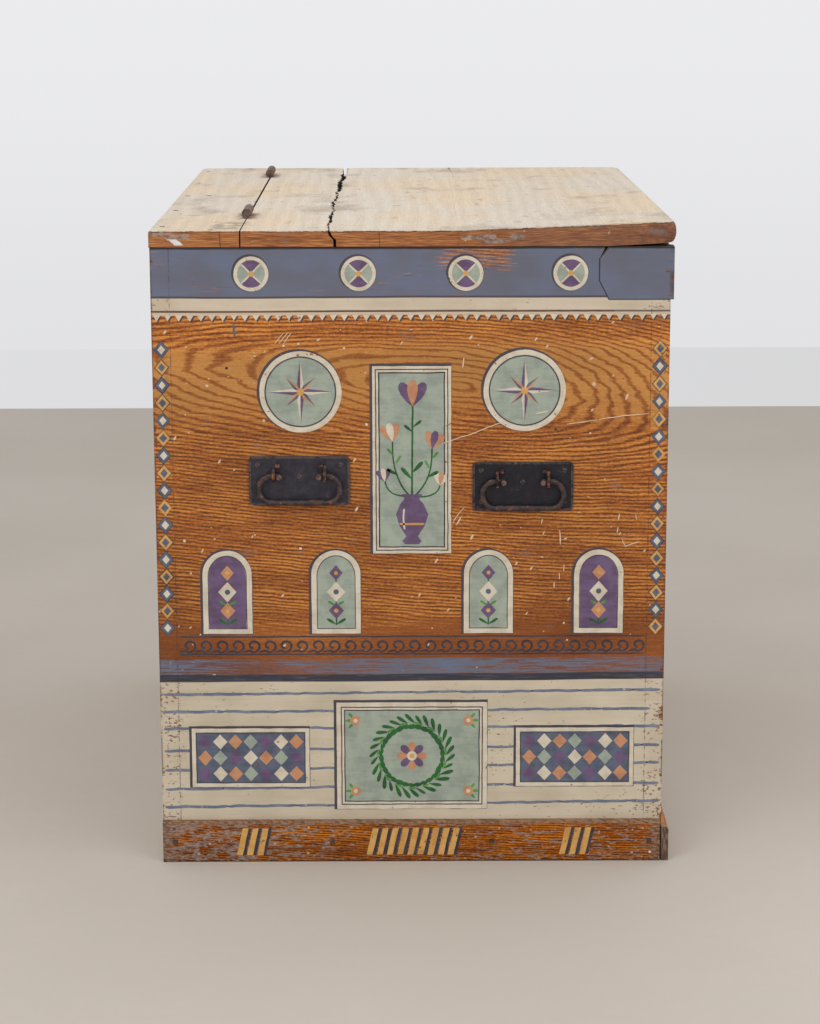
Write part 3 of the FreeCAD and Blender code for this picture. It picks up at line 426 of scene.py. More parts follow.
def lid_boards():
    """Bare weathered pine on top and below, with worn graining on the edges that show, and painted shade
    below and in the crack and the hinge slit.
    """
    f = Finish("lid_pine")
    pine, pine_height = bare_pine(f, f.y, f.x, f.z)
    top = f.node("ShaderNodeCombineXYZ", inputs={0: f.x, 1: f.y})
    ghost = f.fade(f.noise((34, 90, 1), top, seed=82.0), 0.69, 0.74) * f.fade(f.x, -0.02, 0.06)
    pine = f.blend(ghost * 0.6, pine, rgb(134, 138, 150))
    scuffs = f.fade(f.noise((60, 26, 1), top, seed=85.0, detail=3.0, rough=0.65), 0.64, 0.7)
    pine = f.blend(scuffs * 0.4, pine, rgb(128, 106, 86))
    smoke = f.fall(abs(f.y + 0.385), 0.02, 0.06) * f.fall(abs(f.x + 0.225), 0.008, 0.03)
    stain = smoke * f.fade(f.noise((70, 40, 1), top, seed=88.0, detail=3.0), 0.35, 0.6)
    pine = f.blend(stain * 0.7, pine, rgb(120, 108, 98))
    for place in HINGES.values():
        near_hinge = f.fall(abs(f.y - place * MM), 0.026, 0.05)
        near_hinge = near_hinge * f.fall(abs(f.x - HINGE_LINE * MM), 0.007, 0.018)
        rust = near_hinge * f.fade(f.noise((120, 60, 1), top, seed=91.0, detail=3.0), 0.3, 0.55)
        pine = f.blend(rust * 0.75, pine, rgb(98, 76, 60))
    knot_x, knot_y = f.x + 0.2795, f.y - 0.005
    knot = (knot_x * knot_x + knot_y * knot_y * 0.5) ** 0.5
    pine = f.blend(f.fall(knot, 0.0028, 0.0052) * 0.85, pine, rgb(62, 52, 48))
    pine = f.darken(pine, 1 - f.fade(abs(f.x + 0.04), 0.1, 0.22) * 0.035)
    check = abs(f.x - 0.0605 + (f.y - END) * 0.035) * (1 + f.fade(f.y, 0.44, 0.3) * 9)
    check = f.fall(check, 0.0007, 0.0016) * f.fade(f.y, 0.28, 0.31)
    pine = f.blend(check * 0.9, pine, rgb(48, 36, 30))

    # The sawn and rounded edges that were grained with the body
    run = f.x + f.y
    warp = ((f.x - MIDDLE_EDGE * MM) / 0.265).most(0.0) * (END - f.y) * (OUTER_LIFT * MM / (2 * END))
    up = f.z - warp
    flat = f.flat(run, up)
    fibre = f.noise((40, 1, 900), flat, seed=93.0, detail=3.0, rough=0.66)
    broad = f.noise((6, 1, 170), flat, seed=94.0)
    value = (fibre - 0.5) * 2.3 + (broad - 0.5) * 0.9 + 0.5 + f.fall(f.x, -0.25, 0.05) * 0.14
    edge = f.ramp(value, 0.0, 0.55, rgb(96, 48, 22), rgb(160, 96, 52))
    edge = f.ramp(value, 0.5, 1.0, edge, rgb(204, 142, 84))
    edge = scars(f, run, up, edge)
    rubbed = f.noise((15, 15, 85), seed=95.0, detail=3.5, rough=0.62)
    fleck = f.noise((150, 150, 260), seed=97.0, detail=3.0, rough=0.6)
    grey = f.ramp(fleck, 0.35, 0.65, rgb(112, 90, 80), rgb(172, 150, 134))
    worn = sum(f.within(f.x, start, end, 0.006) * f.within(up, low, high, 0.002)
               for start, end, low, high in WORN_PLACES)
    edge = f.blend(f.fade(rubbed + worn * 0.2, 0.63, 0.67) * 0.9, edge, grey)
    right_end = f.fade(f.x, 0.2, 0.3)
    edge = f.darken(edge, 1 - f.fade(f.x, 0.06, 0.14) * 0.17 + right_end * 0.06)
    edge = f.layers(
        edge,
        (f.fade(f.x, 0.1, 0.15) * 0.2, rgb(106, 88, 88)),
        (right_end * f.fade(fleck, 0.44, 0.62) * 0.42, rgb(74, 54, 44)))
    near_end = f.fade(-f.y, 0.4425, 0.4428)
    for place, strength in ((-0.2335, 0.75), (-0.038, 0.6)):
        hair = f.fall(abs(f.x - place + (f.z - 0.8) * 0.06), 0.0003, 0.001) * strength
        edge = f.blend(hair * near_end, edge, rgb(50, 34, 26))
    chip_across = f.x + 0.2885 + (f.z - 0.798) * 1.1 + (fleck - 0.5) * 0.012
    chip = f.fall(abs(chip_across), 0.004, 0.006) * f.fall(abs(f.z - 0.797), 0.003, 0.0042)
    edge = f.blend(chip * near_end, edge, rgb(232, 230, 226))
    ragged = (fleck - 0.5) * 0.0032
    rim = f.fade(up + ragged, 0.8084, 0.8094) * f.fade(f.noise((60, 60, 1), seed=99.0, detail=3.0), 0.36, 0.5)
    # A dark worn rim on the top arris, and painted shadow along the foot of the edges
    edge = f.layers(
        edge,
        (rim * 0.85, rgb(66, 54, 50)),
        (f.fall(f.z, 0.7907, 0.7916), SHADOW_TONE))

    normal = f.node("ShaderNodeTexCoord", output="Normal")
    steep = f.fall(abs(f.node("ShaderNodeSeparateXYZ", inputs={0: normal}, output=2)), 0.78, 0.9)
    ends = f.fade(abs(f.y), 0.4418, 0.4424).most(f.fade(f.x, 0.311, 0.3115)).most(f.fade(-f.x, 0.3125, 0.313))
    ends = ends * steep * f.fall(up + ragged, 0.8096, 0.8104)
    # Painted shade: the pine below the top surface darker
    shade_below_top = f.fall(up, 0.8085, 0.8102)
    colour = f.blend(shade_below_top, pine, f.darken(pine, 0.6))
    colour = f.blend(ends, colour, edge)
    height = pine_height * (1 - ends) + (value * 0.5 + fleck * 0.4) * ends
    sideways = abs(f.node("ShaderNodeSeparateXYZ", inputs={0: normal}, output=0))
    by_crack = f.fall(abs(f.x - CRACK_LINE * MM), 0.018, 0.02)
    by_hinge = f.fall(abs(f.x - HINGE_LINE * MM), 0.003, 0.0035)
    # Painted shade: the walls of the crack and of the hinge slit dark
    shade_in_joints = by_crack.most(by_hinge) * f.fade(sideways, 0.3, 0.5) * f.fall(f.z, 0.8096, 0.8107)
    colour = f.blend(shade_in_joints * 0.93, colour, rgb(36, 26, 22))
    # Painted shade: the underside dark near both ends
    below = f.fall(f.z, 0.7904, 0.7908) * f.fade(abs(f.y), 0.425, 0.435)
    colour = f.blend(below, colour, SHADOW_TONE)
    return f.surface(colour, 0.74 - ends * 0.14, height, 0.0006, gloss=0.36)


def inner_pine():
    """Bare pine of the bottom boards and battens, darkened all over by painted shade for lying inside."""
    f = Finish("inside_pine")
    colour, height = bare_pine(f, f.x, f.y, f.z)
    return f.surface(f.darken(colour, 0.72), 0.78, height, 0.0006)


def old_iron(name, paint, wear_low, wear_high, proud_rust=0.0, relief=0.0006):
    """Forged iron, from fully painted to rusted through as the wear marks come down."""
    f = Finish(name)
    grain = f.noise((420, 420, 420), seed=3.3, detail=4.0, rough=0.7)
    patches = f.noise((95, 95, 95), seed=6.6, detail=4.0, rough=0.65)
    spots = f.noise((210, 210, 210), seed=9.9)
    proud = f.fade(-f.y, 0.4457, 0.4468) * proud_rust
    rim = f.within(-f.y, 0.4451, 0.4456, 0.0001) * proud_rust
    rust = f.fade(patches + (grain - 0.5) * 0.35 + proud * 0.16, wear_low, wear_high)
    bright = f.fade(spots + proud * 0.12, 0.55, 0.68)
    rust_colour = f.blend(bright, rgb(80, 56, 46), rgb(158, 88, 48))
    rust_colour = f.blend(f.fade(grain, 0.5, 0.72) * 0.6, rust_colour, rgb(124, 106, 98))
    coat = f.ramp(patches, 0.3, 0.7, paint, tuple(level * 1.7 + 0.004 for level in paint[:3]) + (1.0,))
    # Painted shade: the plates on the right-hand side darker
    coat = f.darken(coat, 1 - f.fade(f.x, -0.01, 0.01) * proud_rust * 0.6)
    # The raised rim lighter: wear, and a painted highlight along it
    coat = f.blend(rim * f.fade(spots, 0.3, 0.6) * 0.6, coat, rgb(100, 86, 82))
    colour = f.blend(rust, coat, rust_colour)
    tip = f.fade(-f.y, 0.4594, 0.4602)
    colour = f.blend(tip * f.fade(spots, 0.3, 0.6) * 0.6, colour, rgb(140, 112, 98))
    height = grain * 0.6 + patches * 0.5 + rust * 0.3
    return f.surface(colour, 0.42 + rust * 0.34 + grain * 0.14, height, relief, metal=0.4 - rust * 0.35)


def brushed_paint(name, colour, deeper, under, worn):
    """A brushful of old paint: streaky, a little uneven, and gone in spots down to what lies under it."""
    f = Finish(name)
    streaks = f.noise((40, 1, 260), seed=13.0)
    cloud = f.noise((55, 1, 45), seed=19.0, detail=3.0, rough=0.6)
    chips = f.noise((150, 1, 170), seed=29.0, rough=0.55)
    area = f.noise((9, 1, 9), seed=33.0, detail=1.0)
    tone = f.ramp(cloud + (streaks - 0.5) * 0.6, 0.32, 0.72, colour, deeper)
    gone = f.fade(chips + (area - 0.5) * 0.22, worn, worn + 0.035)
    mixed = f.blend(gone * 0.9, f.darken(tone, 0.9 + streaks * 0.2), under)
    return f.surface(mixed, 0.5 + cloud * 0.2, streaks * 0.5 + cloud * 0.5 - gone, 0.0002)


OAK_UNDER = rgb(160, 98, 44)
PAINTS = {
    "ivory": (rgb(222, 212, 192), rgb(202, 188, 166), OAK_UNDER, 0.69),
    "sage": (rgb(166, 176, 160), rgb(144, 154, 142), rgb(120, 116, 108), 0.76),
    "mauve": (rgb(112, 88, 124), rgb(92, 70, 100), rgb(150, 120, 110), 0.76),
    "peach": (rgb(204, 148, 108), rgb(182, 124, 92), rgb(168, 132, 120), 0.74),
    "slate": (rgb(96, 104, 124), rgb(74, 80, 98), OAK_UNDER, 0.68),
    "shadow": (rgb(78, 68, 74), rgb(62, 56, 66), OAK_UNDER, 0.74),
    "ink": (rgb(40, 40, 52), rgb(58, 60, 74), OAK_UNDER, 0.72),
    "ochre": (rgb(220, 170, 96), rgb(196, 142, 70), rgb(132, 84, 44), 0.68),
    "leaf": (rgb(34, 104, 42), rgb(20, 72, 34), rgb(90, 84, 50), 0.78),
    "bud": (rgb(96, 156, 66), rgb(58, 124, 48), rgb(90, 84, 50), 0.78),
    "course": (rgb(100, 110, 132), rgb(124, 131, 146), rgb(190, 174, 150), 0.66),
    "scratch": (rgb(232, 212, 184), rgb(206, 176, 140), OAK_UNDER, 0.7),
}
FINISHES = {
    "painted": painted_boards(),
    "plinth": plinth_boards(),
    "lid": lid_boards(),
    "inside": inner_pine(),
    "plate": old_iron("black_plate_iron", rgb(42, 39, 48), 0.6, 0.74, proud_rust=1.0),
    "rusty": old_iron("rusty_forged_iron", rgb(50, 42, 44), 0.46, 0.62),
    "hinge": old_iron("hinge_iron", rgb(108, 92, 88), 0.42, 0.58, relief=0.0016),
    "nail": old_iron("nail_head_iron", rgb(52, 44, 40), 0.42, 0.58),
}
FINISHES.update({name: brushed_paint(f"{name}_paint", *facts) for name, facts in PAINTS.items()})

for name, thing in nodes.items():
    if "plinth" in name and "nails" not in name:
        kind = "plinth"
    elif name == "lid_strip" or name.startswith("flap_") and name.endswith("board"):
        kind = "lid"
    elif name.startswith("bottom_board") or name.endswith("batten"):
        kind = "inside"
    elif name.endswith("handle_plate") or name.endswith("handle_screws"):
        kind = "plate"
    elif "_leaf" in name or name.endswith("pin"):
        kind = "hinge"
    elif name.endswith("bail"):
        kind = "rusty"
    elif name.endswith("nails") or name.endswith("screws"):
        kind = "nail"
    else:
        kind = "painted"
    thing.data.materials.clear()
    thing.data.materials.append(FINISHES[kind])


# Meshes

def linked(name, data):
    """An object in the scene, at the origin."""
    thing = bpy.data.objects.new(name, data)
    bpy.context.scene.collection.objects.link(thing)
    return thing


def finished(name, mesh_data, kind, body, smooth=False):
    """Links a mesh, gives it its finish and lets it ride on its body."""
    thing = linked(name, mesh_data)
    if not mesh_data.materials:
        mesh_data.materials.append(FINISHES[kind])
    mesh_data.shade_smooth() if smooth else mesh_data.shade_flat()
    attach(thing, body)
    return thing


def vertices(bm, points):
    """New vertices at places in millimetres."""
    return [bm.verts.new((x * MM, y * MM, z * MM)) for x, y, z in points]


def loft(bm, rows, closed=False):
    """Joins rows of vertices all round. The last row meets the first, or both ends get a face."""
    if not closed:
        bm.faces.new(rows[0])
        bm.faces.new(rows[-1][::-1])
    for upper, lower in zip(rows, rows[1:] + (rows[:1] if closed else [])):
        for i in range(len(upper)):
            j = (i + 1) % len(upper)
            bm.faces.new((upper[j], upper[i], lower[i], lower[j]))


def mesh_from(bm, name):
    """The finished mesh, with its double points joined and its faces outward."""
    bmesh.ops.remove_doubles(bm, verts=bm.verts, dist=1e-7)
    bmesh.ops.recalc_face_normals(bm, faces=bm.faces)
    made = bpy.data.meshes.new(name)
    bm.to_mesh(made)
    bm.free()
    return made


def evaluated(thing, helper):
    """A thing's mesh as its modifier makes it. The thing and its helper leave the scene."""
    depsgraph = bpy.context.evaluated_depsgraph_get()
    made = bpy.data.meshes.new_from_object(thing.evaluated_get(depsgraph))
    for used in (thing, helper):
        bpy.data.objects.remove(used)
    return made


def repeat_tree():
    """Geometry Nodes that put a unit at every place, turned as the place says and of uneven size."""
    tree = bpy.data.node_groups.new("repeat_unit", "GeometryNodeTree")
    for label, kind in (("Places", "Geometry"), ("Unit", "Object"), ("Finish", "Material"),
                        ("Least size", "Float"), ("Most size", "Float")):
        tree.interface.new_socket(label, in_out="INPUT", socket_type=f"NodeSocket{kind}")
    tree.interface.new_socket("Result", in_out="OUTPUT", socket_type="NodeSocketGeometry")
    made = {key: tree.nodes.new(kind) for key, kind in {
        "in": "NodeGroupInput", "unit": "GeometryNodeObjectInfo", "turn": "GeometryNodeInputNamedAttribute",
        "size": "FunctionNodeRandomValue", "put": "GeometryNodeInstanceOnPoints",
        "real": "GeometryNodeRealizeInstances", "finish": "GeometryNodeSetMaterial",
        "out": "NodeGroupOutput"}.items()}
    made["turn"].data_type = "FLOAT_VECTOR"
    made["turn"].inputs["Name"].default_value = "turn"
    made["size"].data_type = "FLOAT"
    made["size"].inputs["Seed"].default_value = 11
    least, most = [socket for socket in made["size"].inputs if socket.type == "VALUE" and socket.enabled][:2]
    drawn = next(socket for socket in made["size"].outputs if socket.type == "VALUE" and socket.enabled)
    for source, target in (
            (made["in"].outputs["Places"], made["put"].inputs["Points"]),
            (made["in"].outputs["Unit"], made["unit"].inputs["Object"]),
            (made["unit"].outputs["Geometry"], made["put"].inputs["Instance"]),
            (made["turn"].outputs["Attribute"], made["put"].inputs["Rotation"]),
            (made["in"].outputs["Least size"], least),
            (made["in"].outputs["Most size"], most),
            (drawn, made["put"].inputs["Scale"]),
            (made["put"].outputs["Instances"], made["real"].inputs["Geometry"]),
            (made["real"].outputs["Geometry"], made["finish"].inputs["Geometry"]),
            (made["in"].outputs["Finish"], made["finish"].inputs["Material"]),
            (made["finish"].outputs["Geometry"], made["out"].inputs["Result"])):
        tree.links.new(source, target)
    return tree


REPEAT = repeat_tree()


def repeated(unit, places, kind, least=1.0, most=1.0):
    """A mesh of one unit at every place: ((x, y, z) in millimetres, turn about Y in degrees)."""
    points = bpy.data.meshes.new("places")
    points.from_pydata([[level * MM for level in point] for point, _ in places], [], [])
    turns = points.attributes.new("turn", "FLOAT_VECTOR", "POINT")
    turns.data.foreach_set("vector", [c for _, turn in places for c in (0.0, math.radians(turn), 0.0)])
    holder, master = linked("places", points), linked("unit", unit)
    modifier = holder.modifiers.new("repeat", "NODES")
    modifier.node_group = REPEAT
    keys = {item.name: item.identifier for item in REPEAT.interface.items_tree if item.in_out == "INPUT"}
    modifier[keys["Unit"]] = master
    modifier[keys["Finish"]] = FINISHES[kind]
    modifier[keys["Least size"]] = least
    modifier[keys["Most size"]] = most
    return evaluated(holder, master)


# Ornament painted on the end: closed coats of paint, each over the one below it

class Coats:
    """All the patches of one colour, drawn in the face's own (x, z) in millimetres."""

    def __init__(self):
        self.bm = bmesh.new()

    def lines(self, loops, depth, face):
        """Each loop twice: in front, depth coats over the face, and a little below the face."""
        return [vertices(self.bm, [(x, y, z) for x, z in loop]) for loop in loops
                for y in (face - depth * COAT, face + COAT_FOOT)]

    def prism(self, loop, depth, face):
        """A loop as a closed slab."""
        loft(self.bm, self.lines([loop], depth, face))

    def band(self, left, right, depth, face, closed):
        """A strip between two lines with as many points each."""
        left_front, left_back, right_front, right_back = self.lines([left, right], depth, face)
        sections = zip(left_front, right_front, right_back, left_back)
        loft(self.bm, [list(section) for section in sections], closed)

    def patch(self, loop, depth, face=FACE, steady=0.45):
        """A filled shape, so many coats deep, as a hand paints it."""
        self.prism(by_hand(loop, steady, len(self.bm.verts)), depth, face)

    def ring(self, outer, inner, depth, steady=0.45):
        """A border between two outlines."""
        seed = len(self.bm.verts)
        self.band(by_hand(outer, steady, seed), by_hand(inner, steady, seed), depth, FACE, closed=True)

    def stroke(self, line, width, depth, face=FACE, steady=0.5):
        """A brush line that swells and thins a little and tapers at its ends."""
        line = by_hand(line, steady, len(self.bm.verts))
        left, right = [], []
        for i, (x, z) in enumerate(line):
            (x0, z0), (x1, z1) = line[max(i - 1, 0)], line[min(i + 1, len(line) - 1)]
            length = math.hypot(x1 - x0, z1 - z0)
            taper = 0.55 if i in (0, len(line) - 1) else 1
            half = width / 2 * taper * (1 + 0.22 * noise.noise(Vector((x / 9, z / 9, 4))))
            nx, nz = -(z1 - z0) / length * half, (x1 - x0) / length * half
            left.append((x + nx, z + nz))
            right.append((x - nx, z - nz))
        self.band(left, right, depth, face, closed=False)


def by_hand(points, size, seed):
    """Points as a steady but human hand places them, which strays slowly along its way."""
    reach, seed = 16.0, (seed * 0.37) % 31
    return [(x + size * noise.noise(Vector((x / reach, z / reach, seed))),
             z + size * noise.noise(Vector((x / reach, z / reach, seed + 40)))) for x, z in points]


def between(start, end, step):
    """Points from one place up to, not with, the next."""
    count = max(1, round(math.hypot(end[0] - start[0], end[1] - start[1]) / step))
    return [(start[0] + (end[0] - start[0]) * i / count, start[1] + (end[1] - start[1]) * i / count)
            for i in range(count)]


def line(corners, step=5.0):
    """Points along straight runs from corner to corner, with the last one."""
    runs = [between(start, end, step) for start, end in zip(corners, corners[1:])]
    return [point for run in runs for point in run] + [corners[-1]]


def outline(corners, step=5.0):
    """Points along the sides of a closed shape."""
    return line(corners + corners[:1], step)[:-1]


CURVE_STEPS = 14


def rectangle(x, z, width, height):
    """The corners about a place."""
    w, h = width / 2, height / 2
    return [(x - w, z - h), (x + w, z - h), (x + w, z + h), (x - w, z + h)]


def diamond(x, z, width, height):
    """A diamond of half this width and height about a place."""
    return [(x - width, z), (x, z - height), (x + width, z), (x, z + height)]


def framed_rectangle(x, z, width, height, inset):
    """An outer and an inner outline with as many points each, so that a ring can join them."""
    outer = outline(rectangle(x, z, width, height))
    w, h = 1 - 2 * inset / width, 1 - 2 * inset / height
    return outer, [(x + (px - x) * w, z + (pz - z) * h) for px, pz in outer]


def disc(x, z, radius, count=40, start=0.0, sweep=360.0):
    """A circle, or an arc with both its ends."""
    turns = [math.radians(start + sweep * i / count) for i in range(count if sweep == 360 else count + 1)]
    return [(x + radius * math.cos(turn), z + radius * math.sin(turn)) for turn in turns]


def arch(x, low, high, width):
    """The outline of a round-headed opening."""
    half = width / 2
    sides = line([(x - half, high - half), (x - half, low), (x + half, low), (x + half, high - half)])[:-1]
    return sides + disc(x, high - half, half, 24, 0, 180)[:-1]


def turned(points, angle, centre, size=1.0):
    """Points turned and sized about the origin, then moved to a place."""
    c, s = math.cos(math.radians(angle)) * size, math.sin(math.radians(angle)) * size
    return [(centre[0] + x * c - z * s, centre[1] + x * s + z * c) for x, z in points]


def teardrop(length, width):
    """A leaf or petal that stands on the origin and points up."""
    ts = [math.pi * 2 * i / CURVE_STEPS for i in range(CURVE_STEPS)]
    return [(width / 2 * math.sin(t) * math.sin(t / 2) ** 1.1, length * (1 - math.cos(t)) / 2) for t in ts]


paint = {name: Coats() for name in PAINTS}


def tulip(x, z, size, petal, heart, angle):
    """Two petals that lean out and one that stands between them."""
    for lean in (-26, 26, 0):
        shape = teardrop(1.0, 0.52)
        paint[petal if lean else heart].patch(
            turned(shape, angle - lean, (x, z), size), 4 if lean else 5, steady=0.2)


def leafy_stem(points, width, leaves):
    """A stem and its leaves: (x, z, angle, size) each."""
    paint["leaf"].stroke(points, width, 3)
    for x, z, angle, size in leaves:
        leaf = turned(teardrop(size, size * 0.34), angle, (x, z))
        paint["leaf" if size > 13 else "bud"].patch(leaf, 4, steady=0.2)


def curve(start, bend, end):
    """A brush path that sets off towards one point and arrives at another."""
    return [tuple((1 - t) ** 2 * a + 2 * t * (1 - t) * b + t * t * c for a, b, c in zip(start, bend, end))
            for t in (i / CURVE_STEPS for i in range(CURVE_STEPS + 1))]


def panel_ground(colour, x, z, size, shift, inset):
    """A painted panel's shadow, moved to its upper left, and its ground, smaller by the inset."""
    width, height = size
    shadow = rectangle(x - shift[0], z + shift[1], width + 4, height + 4)
    paint["shadow"].patch(outline(shadow), 1)
    paint[colour].patch(outline(rectangle(x, z, width - inset, height - inset)), 2)


def panel_frame(x, z, size, border, depth, lines):
    """A panel's ivory frame and its dark lines: how much smaller each is, how broad and how deep."""
    width, height = size
    paint["ivory"].ring(*framed_rectangle(x, z, width, height, border), depth)
    for inset, breadth, line_depth in lines:
        paint["shadow"].ring(*framed_rectangle(x, z, width - inset, height - inset, breadth), line_depth)


# Quartered roundels in the frieze
for x in (-196, -64, 68, 197):
    z = 758
    paint["shadow"].patch(disc(x - 1.2, z + 1.2, 23), 1)
    paint["sage"].patch(disc(x, z, 20), 2)
    for start in (45, 225):
        paint["mauve"].patch([(x, z)] + disc(x, z, 18, 12, start, 90), 3, steady=0.3)
    paint["ivory"].ring(disc(x, z, 21.5), disc(x, z, 17), 4)
    for turn in (45, 135):
        paint["ivory"].stroke(turned(line([(-17.5, 0), (17.5, 0)]), turn, (x, z)), 2.2, 4)
    paint["ochre"].patch(disc(x, z, 3.4, 14), 5, steady=0.2)

# Compass stars
LONG_RAY, SHORT_RAY = (40, 10.5, "ivory", "mauve", 4), (25, 8.5, "peach", "slate", 3)
for x, z in ((-137, 611), (141, 612)):
    paint["shadow"].patch(disc(x - 1.6, z + 1.4, 52.5, 60), 1)
    paint["sage"].patch(disc(x, z, 47, 60), 2)
    paint["ivory"].ring(disc(x, z, 51, 60), disc(x, z, 44, 60), 3)
    paint["shadow"].ring(disc(x, z, 44.6, 60), disc(x, z, 42.9, 60), 4, steady=0.3)
    for i in range(8):
        reach, waist, light, deep, depth = SHORT_RAY if i % 2 else LONG_RAY
        for side, colour in ((22.5, deep), (-22.5, light)):
            waist_turn = math.radians(90 + side)
            half_ray = [(0, 0), (waist * math.cos(waist_turn), waist * math.sin(waist_turn)), (0, reach)]
            paint[colour].patch(turned(outline(half_ray, 6), 45 * i, (x, z)), depth, steady=0.3)
    paint["ochre"].patch(disc(x, z, 4.6, 18), 5, steady=0.3)

# The tall middle panel, with a vase of tulips
panel_x, panel_z, panel_size = 1, 524, (98, 238)
panel_ground("sage", panel_x, panel_z, panel_size, (1.4, 1.2), 8)
panel_frame(panel_x, panel_z, panel_size, 8, 3, ((7, 1.3, 4), (15, 1.6, 3)))
vase = [(-9, 417), (9, 417), (12, 421), (7, 427), (16, 441), (20, 455), (15, 468), (9, 475), (13, 481)]
right_side, left_side = [(panel_x + x, z) for x, z in vase], [(panel_x - x, z) for x, z in vase[:1:-1]]
paint["mauve"].patch(outline(right_side + left_side, 4), 4)
paint["ochre"].stroke(line([(panel_x - 15.5, 443), (panel_x + 15.5, 443)]), 3, 5)
paint["ivory"].stroke(curve((panel_x - 10, 462), (panel_x - 12, 450), (panel_x - 9, 436)), 2.2, 5)
leafy_stem(line([(panel_x, 478), (panel_x + 1, 596)]), 2.4, [
    (panel_x, 500, 42, 20), (panel_x, 508, -44, 20), (panel_x + 1, 560, 50, 14), (panel_x + 1, 566, -52, 14)])
for places, width, leaves in (
        (((-2, 478), (-26, 500), (-24, 552)), 2.0,
         ((-17, 505, 60, 17), (-23, 530, 40, 12), (-20, 520, -30, 12))),
        (((2, 478), (27, 498), (25, 542)), 2.0,
         ((18, 502, -62, 17), (25, 526, -42, 12), (22, 514, 30, 12))),
        (((-3, 478), (-33, 478), (-34, 499)), 1.8, ()),
        (((3, 478), (34, 476), (35, 494)), 1.8, ())):
    leafy_stem(curve(*((panel_x + x, z) for x, z in places)), width,
               [(panel_x + x, z, angle, size) for x, z, angle, size in leaves])
for x, z, size, petal, heart, angle in (
        (1, 592, 34, "mauve", "peach", 0), (-24, 548, 24, "peach", "ivory", 12),
        (25, 538, 24, "peach", "mauve", -12), (-34, 497, 17, "mauve", "ivory", 8),
        (35, 492, 17, "ivory", "peach", -8)):
    tulip(panel_x + x, z, size, petal, heart, angle)

# Round-headed niches with diamonds
NICHE_LOW, NICHE_HIGH, NICHE_WIDTH = 301, 409, 62
for x, ground, gem in (
        (-232, "mauve", "peach"), (-95, "sage", "mauve"), (97, "sage", "mauve"), (236, "mauve", "peach")):
    paint["shadow"].patch(arch(x - 1.4, NICHE_LOW - 1, NICHE_HIGH + 2.4, NICHE_WIDTH + 4), 1)
    paint[ground].patch(arch(x, NICHE_LOW + 4, NICHE_HIGH - 4, NICHE_WIDTH - 8), 2)
    outer = arch(x, NICHE_LOW, NICHE_HIGH, NICHE_WIDTH)
    middle_z = (NICHE_LOW + NICHE_HIGH) / 2
    inner, line_outer = ([(x + (px - x) * across, middle_z + (pz - middle_z) * up) for px, pz in outer]
                         for across, up in ((0.76, 0.865), (0.79, 0.885)))
    paint["ivory"].ring(outer, inner, 3)
    paint["shadow"].ring(line_outer, inner, 4, steady=0.3)
    leafy_stem(line([(x, NICHE_LOW + 11), (x, NICHE_HIGH - 22)]), 1.8, [
        (x, NICHE_LOW + rise, lean, size) for rise, size in ((12, 14), (36, 12)) for lean in (58, -58)])
    for i, size in enumerate((9.5, 11.5, 8.5)):
        z = NICHE_LOW + 30 + 24.5 * i
        paint["ivory" if i % 2 else gem].patch(outline(diamond(x, z, size, size * 1.15), 5), 5, steady=0.4)
        paint["slate" if i % 2 else "ochre"].patch(disc(x, z, size * 0.3, 10), 6, steady=0.1)

# Hand-drawn courses across the lower storey, from their left to their right ends
COURSES = ((221, 226), (198, 201), (176, 178), (146, 153), (120, 129), (95, 102), (71, 78))
COURSE_END = 316
for left_z, right_z in COURSES:
    start = -COURSE_END
    while start < 300:
        reach = 60 + 90 * abs(noise.noise(Vector((start / 37, left_z, 2))))
        end = min(start + reach, COURSE_END)
        path = [(x, left_z + (right_z - left_z) * (x + COURSE_END) / (2 * COURSE_END)) for x in (start, end)]
        width = 3.1 + 0.9 * abs(start + end) / (2 * COURSE_END)
        paint["course"].stroke(line(path), width, 0.6, steady=1.1)
        start = end - 1.5

# The wide tablet low down, with a leafy wreath round a rose
tablet_z, tablet_size = 139, (192, 142)
panel_ground("sage", 0, tablet_z, tablet_size, (1.5, 1.5), 10)
panel_frame(0, tablet_z, tablet_size, 10, 3, ((11, 1.4, 4), (19, 1.4, 3)))
for side in (-1, 1):
    for up in (-1, 1):
        centre = (side * 72, tablet_z + up * 47)
        paint["peach"].patch(disc(*centre, 6.5, 16), 4, steady=0.3)
        paint["ivory"].patch(disc(*centre, 2.8, 10), 5, steady=0.2)
        for lean in (40, 90, 140):
            leaf = turned(teardrop(13, 4.6), -side * (90 + up * (lean - 90)), centre)
            paint["bud"].patch(leaf, 3, steady=0.2)
for i in range(8):
    petal = turned(teardrop(19, 12.5), 45 * i, (0, tablet_z))
    paint["mauve" if i % 2 else "peach"].patch(petal, 4 + i % 2, steady=0.3)
paint["ivory"].patch(disc(0, tablet_z, 6.4, 20), 6, steady=0.3)
paint["ochre"].patch(disc(0, tablet_z, 3.2, 14), 7, steady=0.2)

# Harlequin panels
HARLEQUIN = ("mauve", "ivory", "peach", "sage")
COLUMNS, ROWS = 7, 3
panel_z, panel_size = 137, (150, 78)
cell_width, cell_height = (panel_size[0] - 14) / COLUMNS, (panel_size[1] - 14) / ROWS
for x in (-206, 208):
    panel_ground("slate", x, panel_z, panel_size, (1.2, 1.2), 8)
    for up in range(ROWS):
        for across in range(COLUMNS):
            cell_x = x + (across + 0.5 - COLUMNS / 2) * cell_width
            cell_z = panel_z + (up + 0.5 - ROWS / 2) * cell_height
            cell = outline(diamond(cell_x, cell_z, cell_width * 0.47, cell_height * 0.47), 5)
            paint[HARLEQUIN[(across + 2 * up) % 4]].patch(cell, 3, steady=0.5)
    panel_frame(x, panel_z, panel_size, 5.5, 4, ((10, 1.2, 5),))

